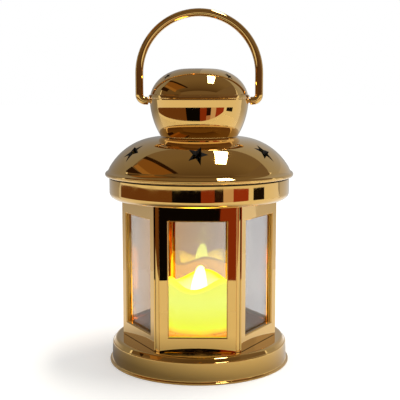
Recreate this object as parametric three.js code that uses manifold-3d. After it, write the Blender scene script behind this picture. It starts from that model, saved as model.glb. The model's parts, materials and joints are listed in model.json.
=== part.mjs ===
// Small battery lantern: a round base, a hexagonal cage of window frames, a star-pierced roof,
// a bulbous cap with a swinging bail, and an electric candle that is served from below.
// Millimetres, +Z up. The origin is on the axis, at the plane that the base stands on.
// Azimuths are measured from the front (-Y) towards +X.

import * as THREE from 'three';
import { mergeVertices } from 'three/addons/utils/BufferGeometryUtils.js';
import Module from 'manifold-3d';

const wasm = await Module();
wasm.setup();

// Clearances
const RUNNING_GAP = 0.3;
const SEAM = 0.15;
const CUT_PAST = 1; // how far a cutter runs past the face that it opens
const JOIN_LAP = 0.5; // how far joined solids reach into each other

// Base shell
const BASE_HEIGHT = 10.2;
const BASE_LIP_RADIUS = 37.6;
const BASE_LIP_HEIGHT = 1.9;
const BASE_WALL_RADIUS = 36.5;
const BASE_WALL_DRAFT = 0.3;
const BASE_SHOULDER_STEP = 1.3;
const BASE_TOP_EDGE_RADIUS = 33.6;
const BASE_WALL = 1.3;
const BASE_LIP_EDGE = 0.3;
const BASE_SHOULDER_ROUND = 1.1;
const BASE_TOP_ROUND = 1.0;

// Bottom cover, screws and battery door
const COVER_RECESS = 1.0;
const COVER_THICKNESS = 1.4;
const COVER_SCREW_CIRCLE = 27;
const COVER_SCREW_AZIMUTHS = [0, 120, 240];
const SCREW_HEAD_RADIUS = 2.0;
const SCREW_HEAD_HEIGHT = 1.15;
const SCREW_SHANK_RADIUS = 0.85;
const SCREW_SHANK_LENGTH = 4.2;
const SCREW_BOSS_RADIUS = 2.6;
const DOOR_RADIUS = 12.4;
const DOOR_THICKNESS = 1.2;
const DOOR_SCREW_RADIUS = 15.2;
const DOOR_EAR_RADIUS = 3.4;

// Light unit: cell, contacts, board, lamp
const CELL_RADIUS = 10;
const CELL_HEIGHT = 3.2;
const CELL_BORE_CLEARANCE = 0.9;
const UNIT_RADIUS = 13.3;
const UNIT_FLANGE_RADIUS = 16.5;
const UNIT_FLANGE_HEIGHT = 1.3;
const UNIT_FLOOR = 1.0;
const UNIT_FLOOR_HOLE_RADIUS = 4.0;
const UNIT_HEIGHT = 13.8;
const CONTACT_THICKNESS = 0.3;
const CONTACT_WIDTH = 2.4;
const BOARD_RADIUS = 11.9;
const BOARD_THICKNESS = 1.0;
const BOARD_SEAT = 0.7;
const CELL_EDGE = 0.4;
const LAMP_RADIUS = 2.5;
const LAMP_FLANGE_RADIUS = 2.9;
const LAMP_FLANGE_HEIGHT = 1.0;
const LAMP_BODY_HEIGHT = 6.0;
const LAMP_LEAD_LENGTH = 5.6;
const LAMP_LEAD_SPACING = 2.54;
const LAMP_LEAD_WIDTH = 0.5;

// Slide switch
const SWITCH_Y = 22;
const SWITCH_SIZE = [9.0, 4.4, 3.6];
const SWITCH_TRAVEL = 2.0;
const SLIDER_KNOB = [1.8, 1.4];
const SLIDER_PLATE = [3.4, 2.4, 0.9];
const SLIDER_PROUD = 0.4;

// Candle
const CANDLE_RADIUS = 14.5;
const CANDLE_HEIGHT = 22.0;
const CANDLE_RIM_WAVE = 2.0;
const CANDLE_RIM_SADDLE = 0.7;
const CANDLE_RIM_WIDTH = 4.2;
const CANDLE_POOL_DROP = 3.9;
const CANDLE_POOL_THICKNESS = 1.0;
const CANDLE_POOL_EDGE = 0.7;
const FLAME_RADIUS = 3.7;
const FLAME_HEIGHT = 10.6;
const FLAME_WALL = 0.95;
const FLAME_FLANGE = 1.1;
const FLAME_FLANGE_THICKNESS = 1.0;
const FLAME_BORE_SHARE = 0.72;
// Shares of the flame's height, and of its radius there
const FLAME_TAPER = [[0, 1], [0.3, 0.88], [0.6, 0.7], [0.82, 0.51], [0.95, 0.3]];
const COLLAR_HEIGHT = 2.9;
const COLLAR_WALL = 1.6;
const COLLAR_NOTCHES = 28;
const COLLAR_NOTCH_WIDTH = 0.7;
const COLLAR_NOTCH_DEPTH = 1.1;
const COLLAR_EDGE = 0.45;

// Window cage
const SIDES = 6;
const CAGE_CORNER_RADIUS = 32.7;
const CAGE_HEIGHT = 65.65;
const POST_RECESS = 0.62;
const POST_LIP = 0.45;
const POST_LIP_LENGTH = 1.0;
const POST_STEM = 0.6;
const POST_FLANGE_ARM = 1.4;
const POST_FLANGE = 0.8;
const POST_TENON_WIDTH = 1.4;
const POST_TENON_DEPTH = 0.55;
const FRAME_SETBACK = 1.45;
const FRAME_TONGUE = 1.0;
const FRAME_BEVEL = 0.4;
const WINDOW_WIDTH = 22.6;
const WINDOW_HEIGHT = 45.65;
const WINDOW_SILL_RAIL = 5.85;
const PANE_THICKNESS = 0.5;
const PANE_LAP = 0.9;
const PANE_PEG_RADIUS = 0.55;
const PANE_PEG_HEAD_RADIUS = 1.1;
const PANE_PEG_HEAD = 0.4;
const PANE_PEG_INSET = 2.0;
const PANE_PEG_SIDES = 6;

// Roof
const BAND_RADIUS = 37.05;
const BAND_HEIGHT = 8.9;
const BAND_ABOVE_CAGE = 0.7;
const BAND_ROUNDING = 3.9;
const BAND_WALL = 1.3;
const BAND_EDGE = 0.3;
const BAND_FLOOR_REACH = 2.0;
const ROOF_RIM_RADIUS = 38.75;
const ROOF_RIM_HEIGHT = 3.5;
const ROOF_RIM_ROLL = 1.45;
const ROOF_DOME_RADIUS = 37.0;
const ROOF_ARC_RADIUS = 24.75;
const ROOF_ARC_CENTRE = 15.46;
const ROOF_HEIGHT = 16.3;
const ROOF_WALL = 1.4;
const ROOF_SKIRT_DEPTH = 3.0;
const NECK_RADIUS = 13.4;
const STAR_AZIMUTHS = [0, 57, 123, 180, 237, 303];
const STAR_CIRCLE = 30.6;
const STAR_RADIUS = 4.0;
const STAR_WAIST = 0.42;

// Cap
const CAP_RADIUS = 20.3;
const CAP_BOWL_HEIGHT = 15.45;
const CAP_BOWL_HALF_AXIS = 26.2;
const CAP_EQUATOR_ABOVE_RIM = 1.1;
const CAP_WALL = 1.3;
const CAP_SPIGOT_DEPTH = 3.6;
const LID_RIM_RADIUS = 20.6;
const LID_RIM_HEIGHT = 1.1;
const LID_RIM_EDGE = 0.3;
const LID_HEIGHT = 11.7;
const LID_FLAT_RADIUS = 5.0;
const LID_EQUATOR_BELOW_RIM = 1.2;
const LID_SKIRT_DEPTH = 2.7;
const LID_SKIRT_WALL = 1.1;
const LID_STAR_AZIMUTHS = [53, 180, 303];
const LID_STAR_CIRCLE = 14.9;
const LID_STAR_RADIUS = 1.9;
const LID_STAR_CUT_DEPTH = 7.9;

// Bail
const BAIL_BAR_RADIUS = 1.63;
const BAIL_SPAN_RADIUS = 24.47;
const BAIL_ARM_HEIGHT = 11.1;
const BAIL_PIVOT_BELOW_RIM = 1.0;
const BAIL_BEND_RADIUS = 2.47;
const BAIL_SIDE_GAP = 0.6;
const BAIL_PIN_RADIUS = 0.9;
const BAIL_PIN_HEAD_RADIUS = 1.5;
const BAIL_PIN_HEAD = 0.9;

// Facets
const LARGE_SEGMENTS = 40;
const MEDIUM_SEGMENTS = 32;
const UNIT_SEGMENTS = 24;
const SMALL_SEGMENTS = 16;
const TINY_SEGMENTS = 12;
const BAR_SIDES = 8;
const BAIL_ARC_STEPS = 20;
const BAIL_BEND_STEPS = 4;

// Heights that several pieces share
const baseTopUnderside = BASE_HEIGHT - BASE_WALL;
const coverTop = COVER_RECESS + COVER_THICKNESS;
const unitBottom = coverTop + RUNNING_GAP;
const unitTop = unitBottom + UNIT_HEIGHT;
const cellTop = unitBottom + CELL_HEIGHT;
const unitFloorBottom = cellTop + RUNNING_GAP + 2 * CONTACT_THICKNESS;
const unitFloorTop = unitFloorBottom + UNIT_FLOOR;
const flangeTop = baseTopUnderside - RUNNING_GAP;
const flangeBottom = flangeTop - UNIT_FLANGE_HEIGHT;
const boardBottom = unitTop - BOARD_THICKNESS - RUNNING_GAP;
const boardTop = boardBottom + BOARD_THICKNESS;
const lampBottom = boardTop + LAMP_LEAD_LENGTH;
const candleBottom = BASE_HEIGHT + RUNNING_GAP;
const candleBore = UNIT_RADIUS + RUNNING_GAP;
const candleRim = candleBottom + CANDLE_HEIGHT;
const poolTop = candleRim - CANDLE_POOL_DROP;
const poolUnderside = poolTop - CANDLE_POOL_THICKNESS;
const flameTip = poolTop + FLAME_HEIGHT;
const cageBottom = BASE_HEIGHT + SEAM;
const cageTop = cageBottom + CAGE_HEIGHT;
const windowSill = cageBottom + WINDOW_SILL_RAIL;
const windowHead = windowSill + WINDOW_HEIGHT;
const cageApothem = CAGE_CORNER_RADIUS * Math.cos(Math.PI / SIDES);
const sideHalf = CAGE_CORNER_RADIUS * Math.sin(Math.PI / SIDES);
const noseSetback = FRAME_SETBACK - POST_RECESS / Math.tan((2 * Math.PI) / SIDES);
const lipEnd = noseSetback + POST_LIP_LENGTH;
const lipDepth = POST_RECESS + POST_LIP;
const frameDepth = lipDepth + SEAM + FRAME_TONGUE;
const frameBack = cageApothem - frameDepth;
const postFlangeOuter = frameDepth + SEAM;
const postFlangeInner = postFlangeOuter + POST_FLANGE;
const postHeelRadius = CAGE_CORNER_RADIUS - postFlangeInner / Math.cos(Math.PI / SIDES);
const tenonCentre = postHeelRadius + POST_TENON_DEPTH / 2;
const bandTop = cageTop + BAND_ABOVE_CAGE;
const bandBottom = bandTop - BAND_HEIGHT;
const roofRimBottom = bandTop + RUNNING_GAP;
const roofCrest = roofRimBottom + ROOF_HEIGHT;
const roofArcCentreHeight = roofCrest - ROOF_ARC_RADIUS;
const bowlBottom = roofCrest + SEAM;
const capRim = bowlBottom + CAP_BOWL_HEIGHT;
const capEquator = capRim + CAP_EQUATOR_ABOVE_RIM;
const lidRimBottom = capRim + RUNNING_GAP;
const lidEquator = lidRimBottom - LID_EQUATOR_BELOW_RIM;
const lidTop = lidRimBottom + LID_HEIGHT;
const pivotHeight = capRim - BAIL_PIVOT_BELOW_RIM;
const bailArcCentre = pivotHeight + BAIL_ARM_HEIGHT;

// Materials
function material(color, roughness, metalness, extra = {}) {
  return new THREE.MeshStandardMaterial({ color, roughness, metalness, ...extra });
}
const goldPlating = material(0xd9aa52, 0.12, 1);
const darkPlastic = material(0x26241f, 0.55, 0);
const clearSheet = material(0xe8e6de, 0.08, 0, { transparent: true, opacity: 0.3 });
const waxPlastic = material(0xf3ef9a, 0.5, 0, { emissive: 0xf0e040, emissiveIntensity: 0.6 });
const flamePlastic = material(0xfff8d8, 0.4, 0, { emissive: 0xfff4c0, emissiveIntensity: 1 });
const lampEpoxy = material(0xfff2c8, 0.2, 0);
const boardLaminate = material(0x2f6b3a, 0.6, 0);
const nickelSteel = material(0xb9b9b4, 0.3, 1);

// Solids
function toSolid(geometry) {
  const bare = geometry.clone();
  bare.deleteAttribute('normal');
  bare.deleteAttribute('uv');
  const merged = mergeVertices(bare, 1e-4);
  const mesh = new wasm.Mesh({
    numProp: 3,
    vertProperties: new Float32Array(merged.attributes.position.array),
    triVerts: new Uint32Array(merged.index.array),
  });
  return new wasm.Manifold(mesh);
}

function toGeometry(solid) {
  const mesh = solid.getMesh();
  const geometry = new THREE.BufferGeometry();
  geometry.setAttribute('position', new THREE.BufferAttribute(new Float32Array(mesh.vertProperties), 3));
  geometry.setIndex(new THREE.BufferAttribute(new Uint32Array(mesh.triVerts), 1));
  geometry.computeVertexNormals();
  return geometry;
}

function cutAll(geometry, cutters) {
  let solid = toSolid(geometry);
  for (const cutter of cutters) {
    solid = solid.subtract(toSolid(cutter));
  }
  return toGeometry(solid);
}

function joinAll(geometries) {
  let solid = toSolid(geometries[0]);
  for (const geometry of geometries.slice(1)) {
    solid = solid.add(toSolid(geometry));
  }
  return toGeometry(solid);
}

// Revolves a profile of [radius, height] points, given up the outside and down the inside.
function revolve(profile, segments) {
  const onAxis = profile[0][0] === 0;
  const points = profile.map(([radius, height]) => new THREE.Vector2(radius, height));
  if (!onAxis) {
    points.push(points[0].clone());
  }
  return new THREE.LatheGeometry(points, segments).rotateX(Math.PI / 2);
}

function cylinder(radius, bottom, top, segments = SMALL_SEGMENTS) {
  return revolve([[0, bottom], [radius, bottom], [radius, top], [0, top]], segments);
}

function box(width, depth, bottom, top, x = 0, y = 0) {
  return new THREE.BoxGeometry(width, depth, top - bottom).translate(x, y, (bottom + top) / 2);
}

// Points on an arc of an ellipse, with the angle measured from the radial direction.
function arcPoints(centreRadius, centreHeight, radialSize, heightSize, fromDegrees, toDegrees, steps) {
  const points = [];
  for (let i = 0; i <= steps; i += 1) {
    const angle = THREE.MathUtils.degToRad(fromDegrees + ((toDegrees - fromDegrees) * i) / steps);
    const radius = centreRadius + radialSize * Math.cos(angle);
    points.push([radius, centreHeight + heightSize * Math.sin(angle)]);
  }
  return points;
}

// Joins closed loops of equal length, the last back to the first, into one ring-shaped surface.
function ringLoft(loops) {
  const count = loops[0].length;
  const positions = loops.flat().flatMap((point) => [point.x, point.y, point.z]);
  const indices = [];
  for (let i = 0; i < loops.length; i += 1) {
    const next = (i + 1) % loops.length;
    for (let k = 0; k < count; k += 1) {
      const after = (k + 1) % count;
      const a = i * count + k;
      const b = i * count + after;
      const c = next * count + after;
      const d = next * count + k;
      indices.push(a, b, c, a, c, d);
    }
  }
  const geometry = new THREE.BufferGeometry();
  geometry.setAttribute('position', new THREE.Float32BufferAttribute(positions, 3));
  geometry.setIndex(indices);
  geometry.computeVertexNormals();
  return geometry;
}

function starShape(radius, startAngle) {
  const shape = new THREE.Shape();
  for (let i = 0; i < 10; i += 1) {
    const reach = i % 2 === 0 ? radius : radius * STAR_WAIST;
    const angle = startAngle + (i * Math.PI) / 5;
    const place = i === 0 ? 'moveTo' : 'lineTo';
    shape[place](reach * Math.cos(angle), reach * Math.sin(angle));
  }
  shape.closePath();
  return shape;
}

// Star punches along +Z on a circle about the axis, each with one point along the circle.
function starCutters(azimuths, circle, radius, bottom, top) {
  return azimuths.map((azimuth) => {
    const turn = THREE.MathUtils.degToRad(azimuth);
    const punch = new THREE.ExtrudeGeometry(starShape(radius, 0), {
      depth: top - bottom,
      bevelEnabled: false,
    });
    return punch.translate(0, -circle, bottom).rotateZ(turn);
  });
}

const lantern = new THREE.Group();

function addPiece(parent, name, geometry, finish) {
  const mesh = new THREE.Mesh(geometry, finish);
  mesh.name = name;
  parent.add(mesh);
  return mesh;
}

// Places a child of the group at an azimuth about the axis.
function azimuthGroup(azimuth) {
  const group = new THREE.Group();
  group.rotation.z = THREE.MathUtils.degToRad(azimuth);
  lantern.add(group);
  return group;
}

// Screws: countersunk, flush with the recessed cover
function screwGeometry() {
  const bottom = COVER_RECESS;
  const coneTop = bottom + SCREW_HEAD_HEIGHT;
  const tip = coneTop + SCREW_SHANK_LENGTH;
  return revolve([
    [0, bottom],
    [SCREW_HEAD_RADIUS, bottom],
    [SCREW_SHANK_RADIUS, coneTop],
    [SCREW_SHANK_RADIUS, tip - SCREW_SHANK_RADIUS],
    [0, tip],
  ], TINY_SEGMENTS);
}

function screwHole(depthAbove) {
  const bottom = COVER_RECESS;
  const coneTop = bottom + SCREW_HEAD_HEIGHT;
  const bore = SCREW_SHANK_RADIUS + RUNNING_GAP;
  return revolve([
    [0, bottom - CUT_PAST],
    [SCREW_HEAD_RADIUS + RUNNING_GAP, bottom - CUT_PAST],
    [SCREW_HEAD_RADIUS + RUNNING_GAP, bottom],
    [bore, coneTop],
    [bore, coneTop + SCREW_SHANK_LENGTH + depthAbove],
    [0, coneTop + SCREW_SHANK_LENGTH + depthAbove],
  ], TINY_SEGMENTS);
}

// Base shell: stepped shoulder, open foot, screw bosses, tenon sockets
function baseShell() {
  const shoulderRadius = BASE_WALL_RADIUS - BASE_WALL_DRAFT;
  const ledgeHeight = BASE_HEIGHT - BASE_SHOULDER_STEP;
  const innerRadius = shoulderRadius - BASE_WALL;
  const bore = UNIT_RADIUS + RUNNING_GAP;
  const shell = revolve([
    [innerRadius, 0],
    [BASE_LIP_RADIUS - BASE_LIP_EDGE, 0],
    [BASE_LIP_RADIUS, BASE_LIP_EDGE],
    [BASE_LIP_RADIUS, BASE_LIP_HEIGHT - BASE_LIP_EDGE],
    [BASE_LIP_RADIUS - BASE_LIP_EDGE, BASE_LIP_HEIGHT],
    [BASE_WALL_RADIUS, BASE_LIP_HEIGHT + BASE_LIP_EDGE],
    ...arcPoints(shoulderRadius - BASE_SHOULDER_ROUND, ledgeHeight - BASE_SHOULDER_ROUND,
      BASE_SHOULDER_ROUND, BASE_SHOULDER_ROUND, 0, 90, 2),
    ...arcPoints(BASE_TOP_EDGE_RADIUS, BASE_HEIGHT - BASE_TOP_ROUND,
      BASE_TOP_ROUND, BASE_TOP_ROUND, 0, 90, 2),
    [bore, BASE_HEIGHT],
    [bore, baseTopUnderside],
    [innerRadius - BASE_WALL, baseTopUnderside],
    [innerRadius, baseTopUnderside - BASE_WALL],
  ], LARGE_SEGMENTS);
  const bosses = COVER_SCREW_AZIMUTHS.map((azimuth) => {
    const boss = cylinder(SCREW_BOSS_RADIUS, unitBottom, baseTopUnderside + BASE_WALL / 2, TINY_SEGMENTS);
    return boss.translate(0, -COVER_SCREW_CIRCLE, 0).rotateZ(THREE.MathUtils.degToRad(azimuth));
  });
  const pilots = COVER_SCREW_AZIMUTHS.map((azimuth) => {
    const pilot = screwHole(RUNNING_GAP).translate(0, -COVER_SCREW_CIRCLE, 0);
    return pilot.rotateZ(THREE.MathUtils.degToRad(azimuth));
  });
  const sockets = [];
  for (let side = 0; side < SIDES; side += 1) {
    const socket = box(POST_TENON_WIDTH + 2 * RUNNING_GAP, POST_TENON_DEPTH + 2 * RUNNING_GAP,
      baseTopUnderside - CUT_PAST, BASE_HEIGHT + CUT_PAST, 0, -tenonCentre);
    sockets.push(socket.rotateZ(THREE.MathUtils.degToRad(cornerAzimuth(side))));
  }
  return cutAll(joinAll([shell, ...bosses]), [...pilots, ...sockets]);
}

function cornerAzimuth(side) {
  return ((side + 0.5) * 360) / SIDES;
}

// Bottom cover with its battery opening, and the door that closes it
function doorOutline(grow, bottom, top) {
  const plate = cylinder(DOOR_RADIUS + grow, bottom, top, MEDIUM_SEGMENTS);
  const ear = cylinder(DOOR_EAR_RADIUS + grow, bottom, top).translate(0, -DOOR_SCREW_RADIUS, 0);
  return joinAll([plate, ear]);
}

function bottomCover() {
  const innerRadius = BASE_WALL_RADIUS - BASE_WALL_DRAFT - BASE_WALL;
  const plate = cylinder(innerRadius - RUNNING_GAP, COVER_RECESS, coverTop, LARGE_SEGMENTS);
  const holes = COVER_SCREW_AZIMUTHS.map((azimuth) => {
    const hole = screwHole(0).translate(0, -COVER_SCREW_CIRCLE, 0);
    return hole.rotateZ(THREE.MathUtils.degToRad(azimuth));
  });
  const slotWidth = SLIDER_KNOB[0] + SWITCH_TRAVEL + 2 * RUNNING_GAP;
  const slotDepth = SLIDER_KNOB[1] + 2 * RUNNING_GAP;
  const low = COVER_RECESS - CUT_PAST;
  const high = coverTop + CUT_PAST;
  const slot = box(slotWidth, slotDepth, low, high, 0, SWITCH_Y);
  return cutAll(plate, [doorOutline(RUNNING_GAP, low, high), ...holes, slot]);
}

function batteryDoor() {
  const door = doorOutline(0, COVER_RECESS, COVER_RECESS + DOOR_THICKNESS);
  return cutAll(door, [screwHole(0).translate(0, -DOOR_SCREW_RADIUS, 0)]);
}

// Light unit: a plug through the base that holds the cell below and the board above
function lightUnit() {
  const cellBore = CELL_RADIUS + CELL_BORE_CLEARANCE;
  const seatRadius = BOARD_RADIUS - BOARD_SEAT;
  const body = revolve([
    [cellBore, unitBottom],
    [UNIT_RADIUS, unitBottom],
    [UNIT_RADIUS, flangeBottom],
    [UNIT_FLANGE_RADIUS, flangeBottom],
    [UNIT_FLANGE_RADIUS, flangeTop],
    [UNIT_RADIUS, flangeTop],
    [UNIT_RADIUS, unitTop],
    [BOARD_RADIUS + RUNNING_GAP, unitTop],
    [BOARD_RADIUS + RUNNING_GAP, boardBottom - SEAM],
    [seatRadius, boardBottom - SEAM],
    [seatRadius, unitFloorTop],
    [UNIT_FLOOR_HOLE_RADIUS, unitFloorTop],
    [UNIT_FLOOR_HOLE_RADIUS, unitFloorBottom],
    [cellBore, unitFloorBottom],
  ], UNIT_SEGMENTS);
  const bossTop = flangeBottom + UNIT_FLANGE_HEIGHT / 2;
  const boss = cylinder(SCREW_BOSS_RADIUS, unitBottom, bossTop, TINY_SEGMENTS);
  const pilot = screwHole(RUNNING_GAP).translate(0, -DOOR_SCREW_RADIUS, 0);
  return cutAll(joinAll([body, boss.translate(0, -DOOR_SCREW_RADIUS, 0)]), [pilot]);
}

// A strip bent in the XZ plane, drawn as its outline
function bentStrip(outline, width) {
  const shape = new THREE.Shape(outline.map(([x, z]) => new THREE.Vector2(x, z)));
  const strip = new THREE.ExtrudeGeometry(shape, { depth: width, bevelEnabled: false });
  return strip.rotateX(Math.PI / 2).translate(0, width / 2, 0);
}

function centreContact() {
  const low = cellTop + CONTACT_THICKNESS / 2;
  const stemX = -UNIT_FLOOR_HOLE_RADIUS / 2;
  return bentStrip([
    [CONTACT_WIDTH / 2, low],
    [CONTACT_WIDTH / 2, low + CONTACT_THICKNESS],
    [stemX, low + CONTACT_THICKNESS],
    [stemX, boardBottom - RUNNING_GAP],
    [stemX - CONTACT_THICKNESS, boardBottom - RUNNING_GAP],
    [stemX - CONTACT_THICKNESS, low],
  ], CONTACT_WIDTH);
}

function sideContact() {
  const low = cellTop + CONTACT_THICKNESS / 2;
  const leafX = CELL_RADIUS + RUNNING_GAP;
  const stemX = UNIT_FLOOR_HOLE_RADIUS - RUNNING_GAP - CONTACT_THICKNESS;
  return bentStrip([
    [leafX, unitBottom + RUNNING_GAP],
    [leafX + CONTACT_THICKNESS, unitBottom + RUNNING_GAP],
    [leafX + CONTACT_THICKNESS, low + CONTACT_THICKNESS],
    [stemX, low + CONTACT_THICKNESS],
    [stemX, boardBottom - RUNNING_GAP],
    [stemX - CONTACT_THICKNESS, boardBottom - RUNNING_GAP],
    [stemX - CONTACT_THICKNESS, low],
    [leafX, low],
  ], CONTACT_WIDTH);
}

function coinCell() {
  return revolve([
    [0, unitBottom],
    [CELL_RADIUS - CELL_EDGE, unitBottom],
    [CELL_RADIUS, unitBottom + CELL_EDGE],
    [CELL_RADIUS, cellTop - 2 * CELL_EDGE],
    [CELL_RADIUS - 3 * CELL_EDGE, cellTop - CELL_EDGE / 2],
    [0, cellTop - CELL_EDGE / 2],
  ], UNIT_SEGMENTS);
}

function circuitBoard() {
  return cylinder(BOARD_RADIUS, boardBottom, boardTop, UNIT_SEGMENTS);
}

// Lamp: 5 mm dome on a flange, with two leads down to the board
function lamp() {
  const domeBottom = lampBottom + LAMP_BODY_HEIGHT;
  const body = revolve([
    [0, lampBottom],
    [LAMP_FLANGE_RADIUS, lampBottom],
    [LAMP_FLANGE_RADIUS, lampBottom + LAMP_FLANGE_HEIGHT],
    [LAMP_RADIUS, lampBottom + LAMP_FLANGE_HEIGHT],
    ...arcPoints(0, domeBottom, LAMP_RADIUS, LAMP_RADIUS, 0, 70, 3),
    [0, domeBottom + LAMP_RADIUS],
  ], SMALL_SEGMENTS);
  const leads = [-0.5, 0.5].map((place) => box(LAMP_LEAD_WIDTH, LAMP_LEAD_WIDTH,
    boardTop + SEAM, lampBottom + JOIN_LAP, place * LAMP_LEAD_SPACING));
  return joinAll([body, ...leads]);
}

// Slide switch: a body with a pocket, and the slider whose knob reaches through the cover
function switchBody() {
  const [width, depth, height] = SWITCH_SIZE;
  const body = box(width, depth, unitBottom, unitBottom + height, 0, SWITCH_Y);
  const pocket = box(SLIDER_PLATE[0] + SWITCH_TRAVEL + 2 * RUNNING_GAP, SLIDER_PLATE[1] + 2 * RUNNING_GAP,
    unitBottom - CUT_PAST, unitBottom + SLIDER_PLATE[2] + 2 * RUNNING_GAP, 0, SWITCH_Y);
  return cutAll(body, [pocket]);
}

function switchSlider() {
  const restX = -SWITCH_TRAVEL / 2;
  const plateBottom = unitBottom + RUNNING_GAP / 2;
  const knobBottom = COVER_RECESS - SLIDER_PROUD;
  const plate = box(SLIDER_PLATE[0], SLIDER_PLATE[1], plateBottom, plateBottom + SLIDER_PLATE[2],
    restX, SWITCH_Y);
  const knobTop = plateBottom + JOIN_LAP;
  const knob = box(SLIDER_KNOB[0], SLIDER_KNOB[1], knobBottom, knobTop, restX, SWITCH_Y);
  return joinAll([plate, knob]);
}

// Candle shell: a hollow tube with a melted, wavy rim round a sunken pool
function candleRimHeight(angle) {
  return candleRim + CANDLE_RIM_WAVE * Math.sin(angle) - CANDLE_RIM_SADDLE * Math.cos(2 * angle);
}

function candleProfile(rim) {
  const half = CANDLE_RIM_WIDTH / 2;
  const crest = CANDLE_RADIUS - half;
  const poolEdge = crest - half - CANDLE_POOL_EDGE;
  return [
    [candleBore, candleBottom],
    [CANDLE_RADIUS, candleBottom],
    [CANDLE_RADIUS, rim - half],
    ...arcPoints(crest, rim - half, half, half, 36, 144, 3),
    [crest - half, rim - half],
    [poolEdge, poolTop + CANDLE_POOL_EDGE],
    [poolEdge - CANDLE_POOL_EDGE, poolTop],
    [FLAME_RADIUS + RUNNING_GAP, poolTop],
    [FLAME_RADIUS + RUNNING_GAP, poolUnderside],
    [candleBore, poolUnderside],
  ];
}

function candleShell() {
  const columns = [];
  for (let i = 0; i < MEDIUM_SEGMENTS; i += 1) {
    const angle = (i * 2 * Math.PI) / MEDIUM_SEGMENTS;
    const profile = candleProfile(candleRimHeight(angle));
    columns.push(profile.map(([radius, height]) => new THREE.Vector3(
      radius * Math.cos(angle), radius * Math.sin(angle), height)));
  }
  const loops = columns[0].map((point, i) => columns.map((column) => column[i]));
  return ringLoft(loops);
}

// Flame: a hollow drop that covers the lamp and is caught under the pool by its flange
function flameDiffuser() {
  const flangeTopHeight = poolUnderside - RUNNING_GAP;
  const flangeBottomHeight = flangeTopHeight - FLAME_FLANGE_THICKNESS;
  const boreHeight = FLAME_HEIGHT * FLAME_BORE_SHARE;
  const outer = FLAME_TAPER.map(([up, out]) => [FLAME_RADIUS * out, poolTop + FLAME_HEIGHT * up]);
  const inner = FLAME_TAPER.slice(0, -1).map(([up, out]) => [
    FLAME_RADIUS * out - FLAME_WALL,
    poolTop + boreHeight * up,
  ]);
  return revolve([
    [0, poolTop + boreHeight],
    ...inner.reverse(),
    [FLAME_RADIUS - FLAME_WALL, flangeBottomHeight],
    [FLAME_RADIUS + FLAME_FLANGE, flangeBottomHeight],
    [FLAME_RADIUS + FLAME_FLANGE, flangeTopHeight],
    [FLAME_RADIUS, flangeTopHeight],
    ...outer,
    [0, flameTip],
  ], SMALL_SEGMENTS);
}

// Collar: a notched ring on the base round the candle's foot
function candleCollar() {
  const innerRadius = CANDLE_RADIUS + RUNNING_GAP;
  const outerRadius = innerRadius + COLLAR_WALL;
  const bottom = BASE_HEIGHT + SEAM;
  const top = bottom + COLLAR_HEIGHT - SEAM;
  const ring = revolve([
    [innerRadius, bottom],
    [outerRadius, bottom],
    [outerRadius, top - COLLAR_EDGE],
    [outerRadius - COLLAR_EDGE, top],
    [innerRadius, top],
  ], COLLAR_NOTCHES);
  const notches = [];
  const notchBottom = top - COLLAR_NOTCH_DEPTH;
  for (let i = 0; i < COLLAR_NOTCHES; i += 1) {
    const notch = box(COLLAR_NOTCH_WIDTH, COLLAR_WALL * 2, notchBottom, top + CUT_PAST,
      0, -(innerRadius + COLLAR_WALL / 2));
    notches.push(notch.rotateZ((i * 2 * Math.PI) / COLLAR_NOTCHES));
  }
  return cutAll(ring, notches);
}

// Corner post: a flat nose set back between the frames, two lips in their grooves, a stem between
// their tongues and a flange behind
function postSection() {
  const cos = Math.cos(Math.PI / SIDES);
  const sin = Math.sin(Math.PI / SIDES);
  const stemHalf = POST_STEM / 2;
  const along = (arm, depth) => [cos * arm - sin * depth, CAGE_CORNER_RADIUS - sin * arm - cos * depth];
  const atStem = (depth) => along((stemHalf + sin * depth) / cos, depth);
  const flangeEnd = (stemHalf + sin * postFlangeOuter) / cos + POST_FLANGE_ARM;
  const half = [
    along(noseSetback, POST_RECESS),
    along(lipEnd, POST_RECESS),
    along(lipEnd, lipDepth),
    atStem(lipDepth),
    atStem(postFlangeOuter),
    along(flangeEnd, postFlangeOuter),
    along(flangeEnd, postFlangeInner),
  ];
  const heel = [0, postHeelRadius];
  const mirrored = half.map(([across, out]) => [-across, out]).reverse();
  return [...half, heel, ...mirrored];
}

function cornerPost() {
  const outline = postSection().map(([across, out]) => new THREE.Vector2(across, -out));
  const section = new THREE.Shape(outline);
  const bar = new THREE.ExtrudeGeometry(section, { depth: cageTop - cageBottom, bevelEnabled: false });
  const tenonTop = cageBottom + JOIN_LAP;
  const tenon = box(POST_TENON_WIDTH, POST_TENON_DEPTH, baseTopUnderside, tenonTop, 0, -tenonCentre);
  return joinAll([bar.translate(0, 0, cageBottom), tenon]);
}

// Window frame: sides grooved for the posts' lips, a bevelled opening, a rebate for the pane, four pegs
function rectangleLoop(halfWidth, low, high, apothem) {
  return [
    new THREE.Vector3(-halfWidth, -apothem, low),
    new THREE.Vector3(halfWidth, -apothem, low),
    new THREE.Vector3(halfWidth, -apothem, high),
    new THREE.Vector3(-halfWidth, -apothem, high),
  ];
}

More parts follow.
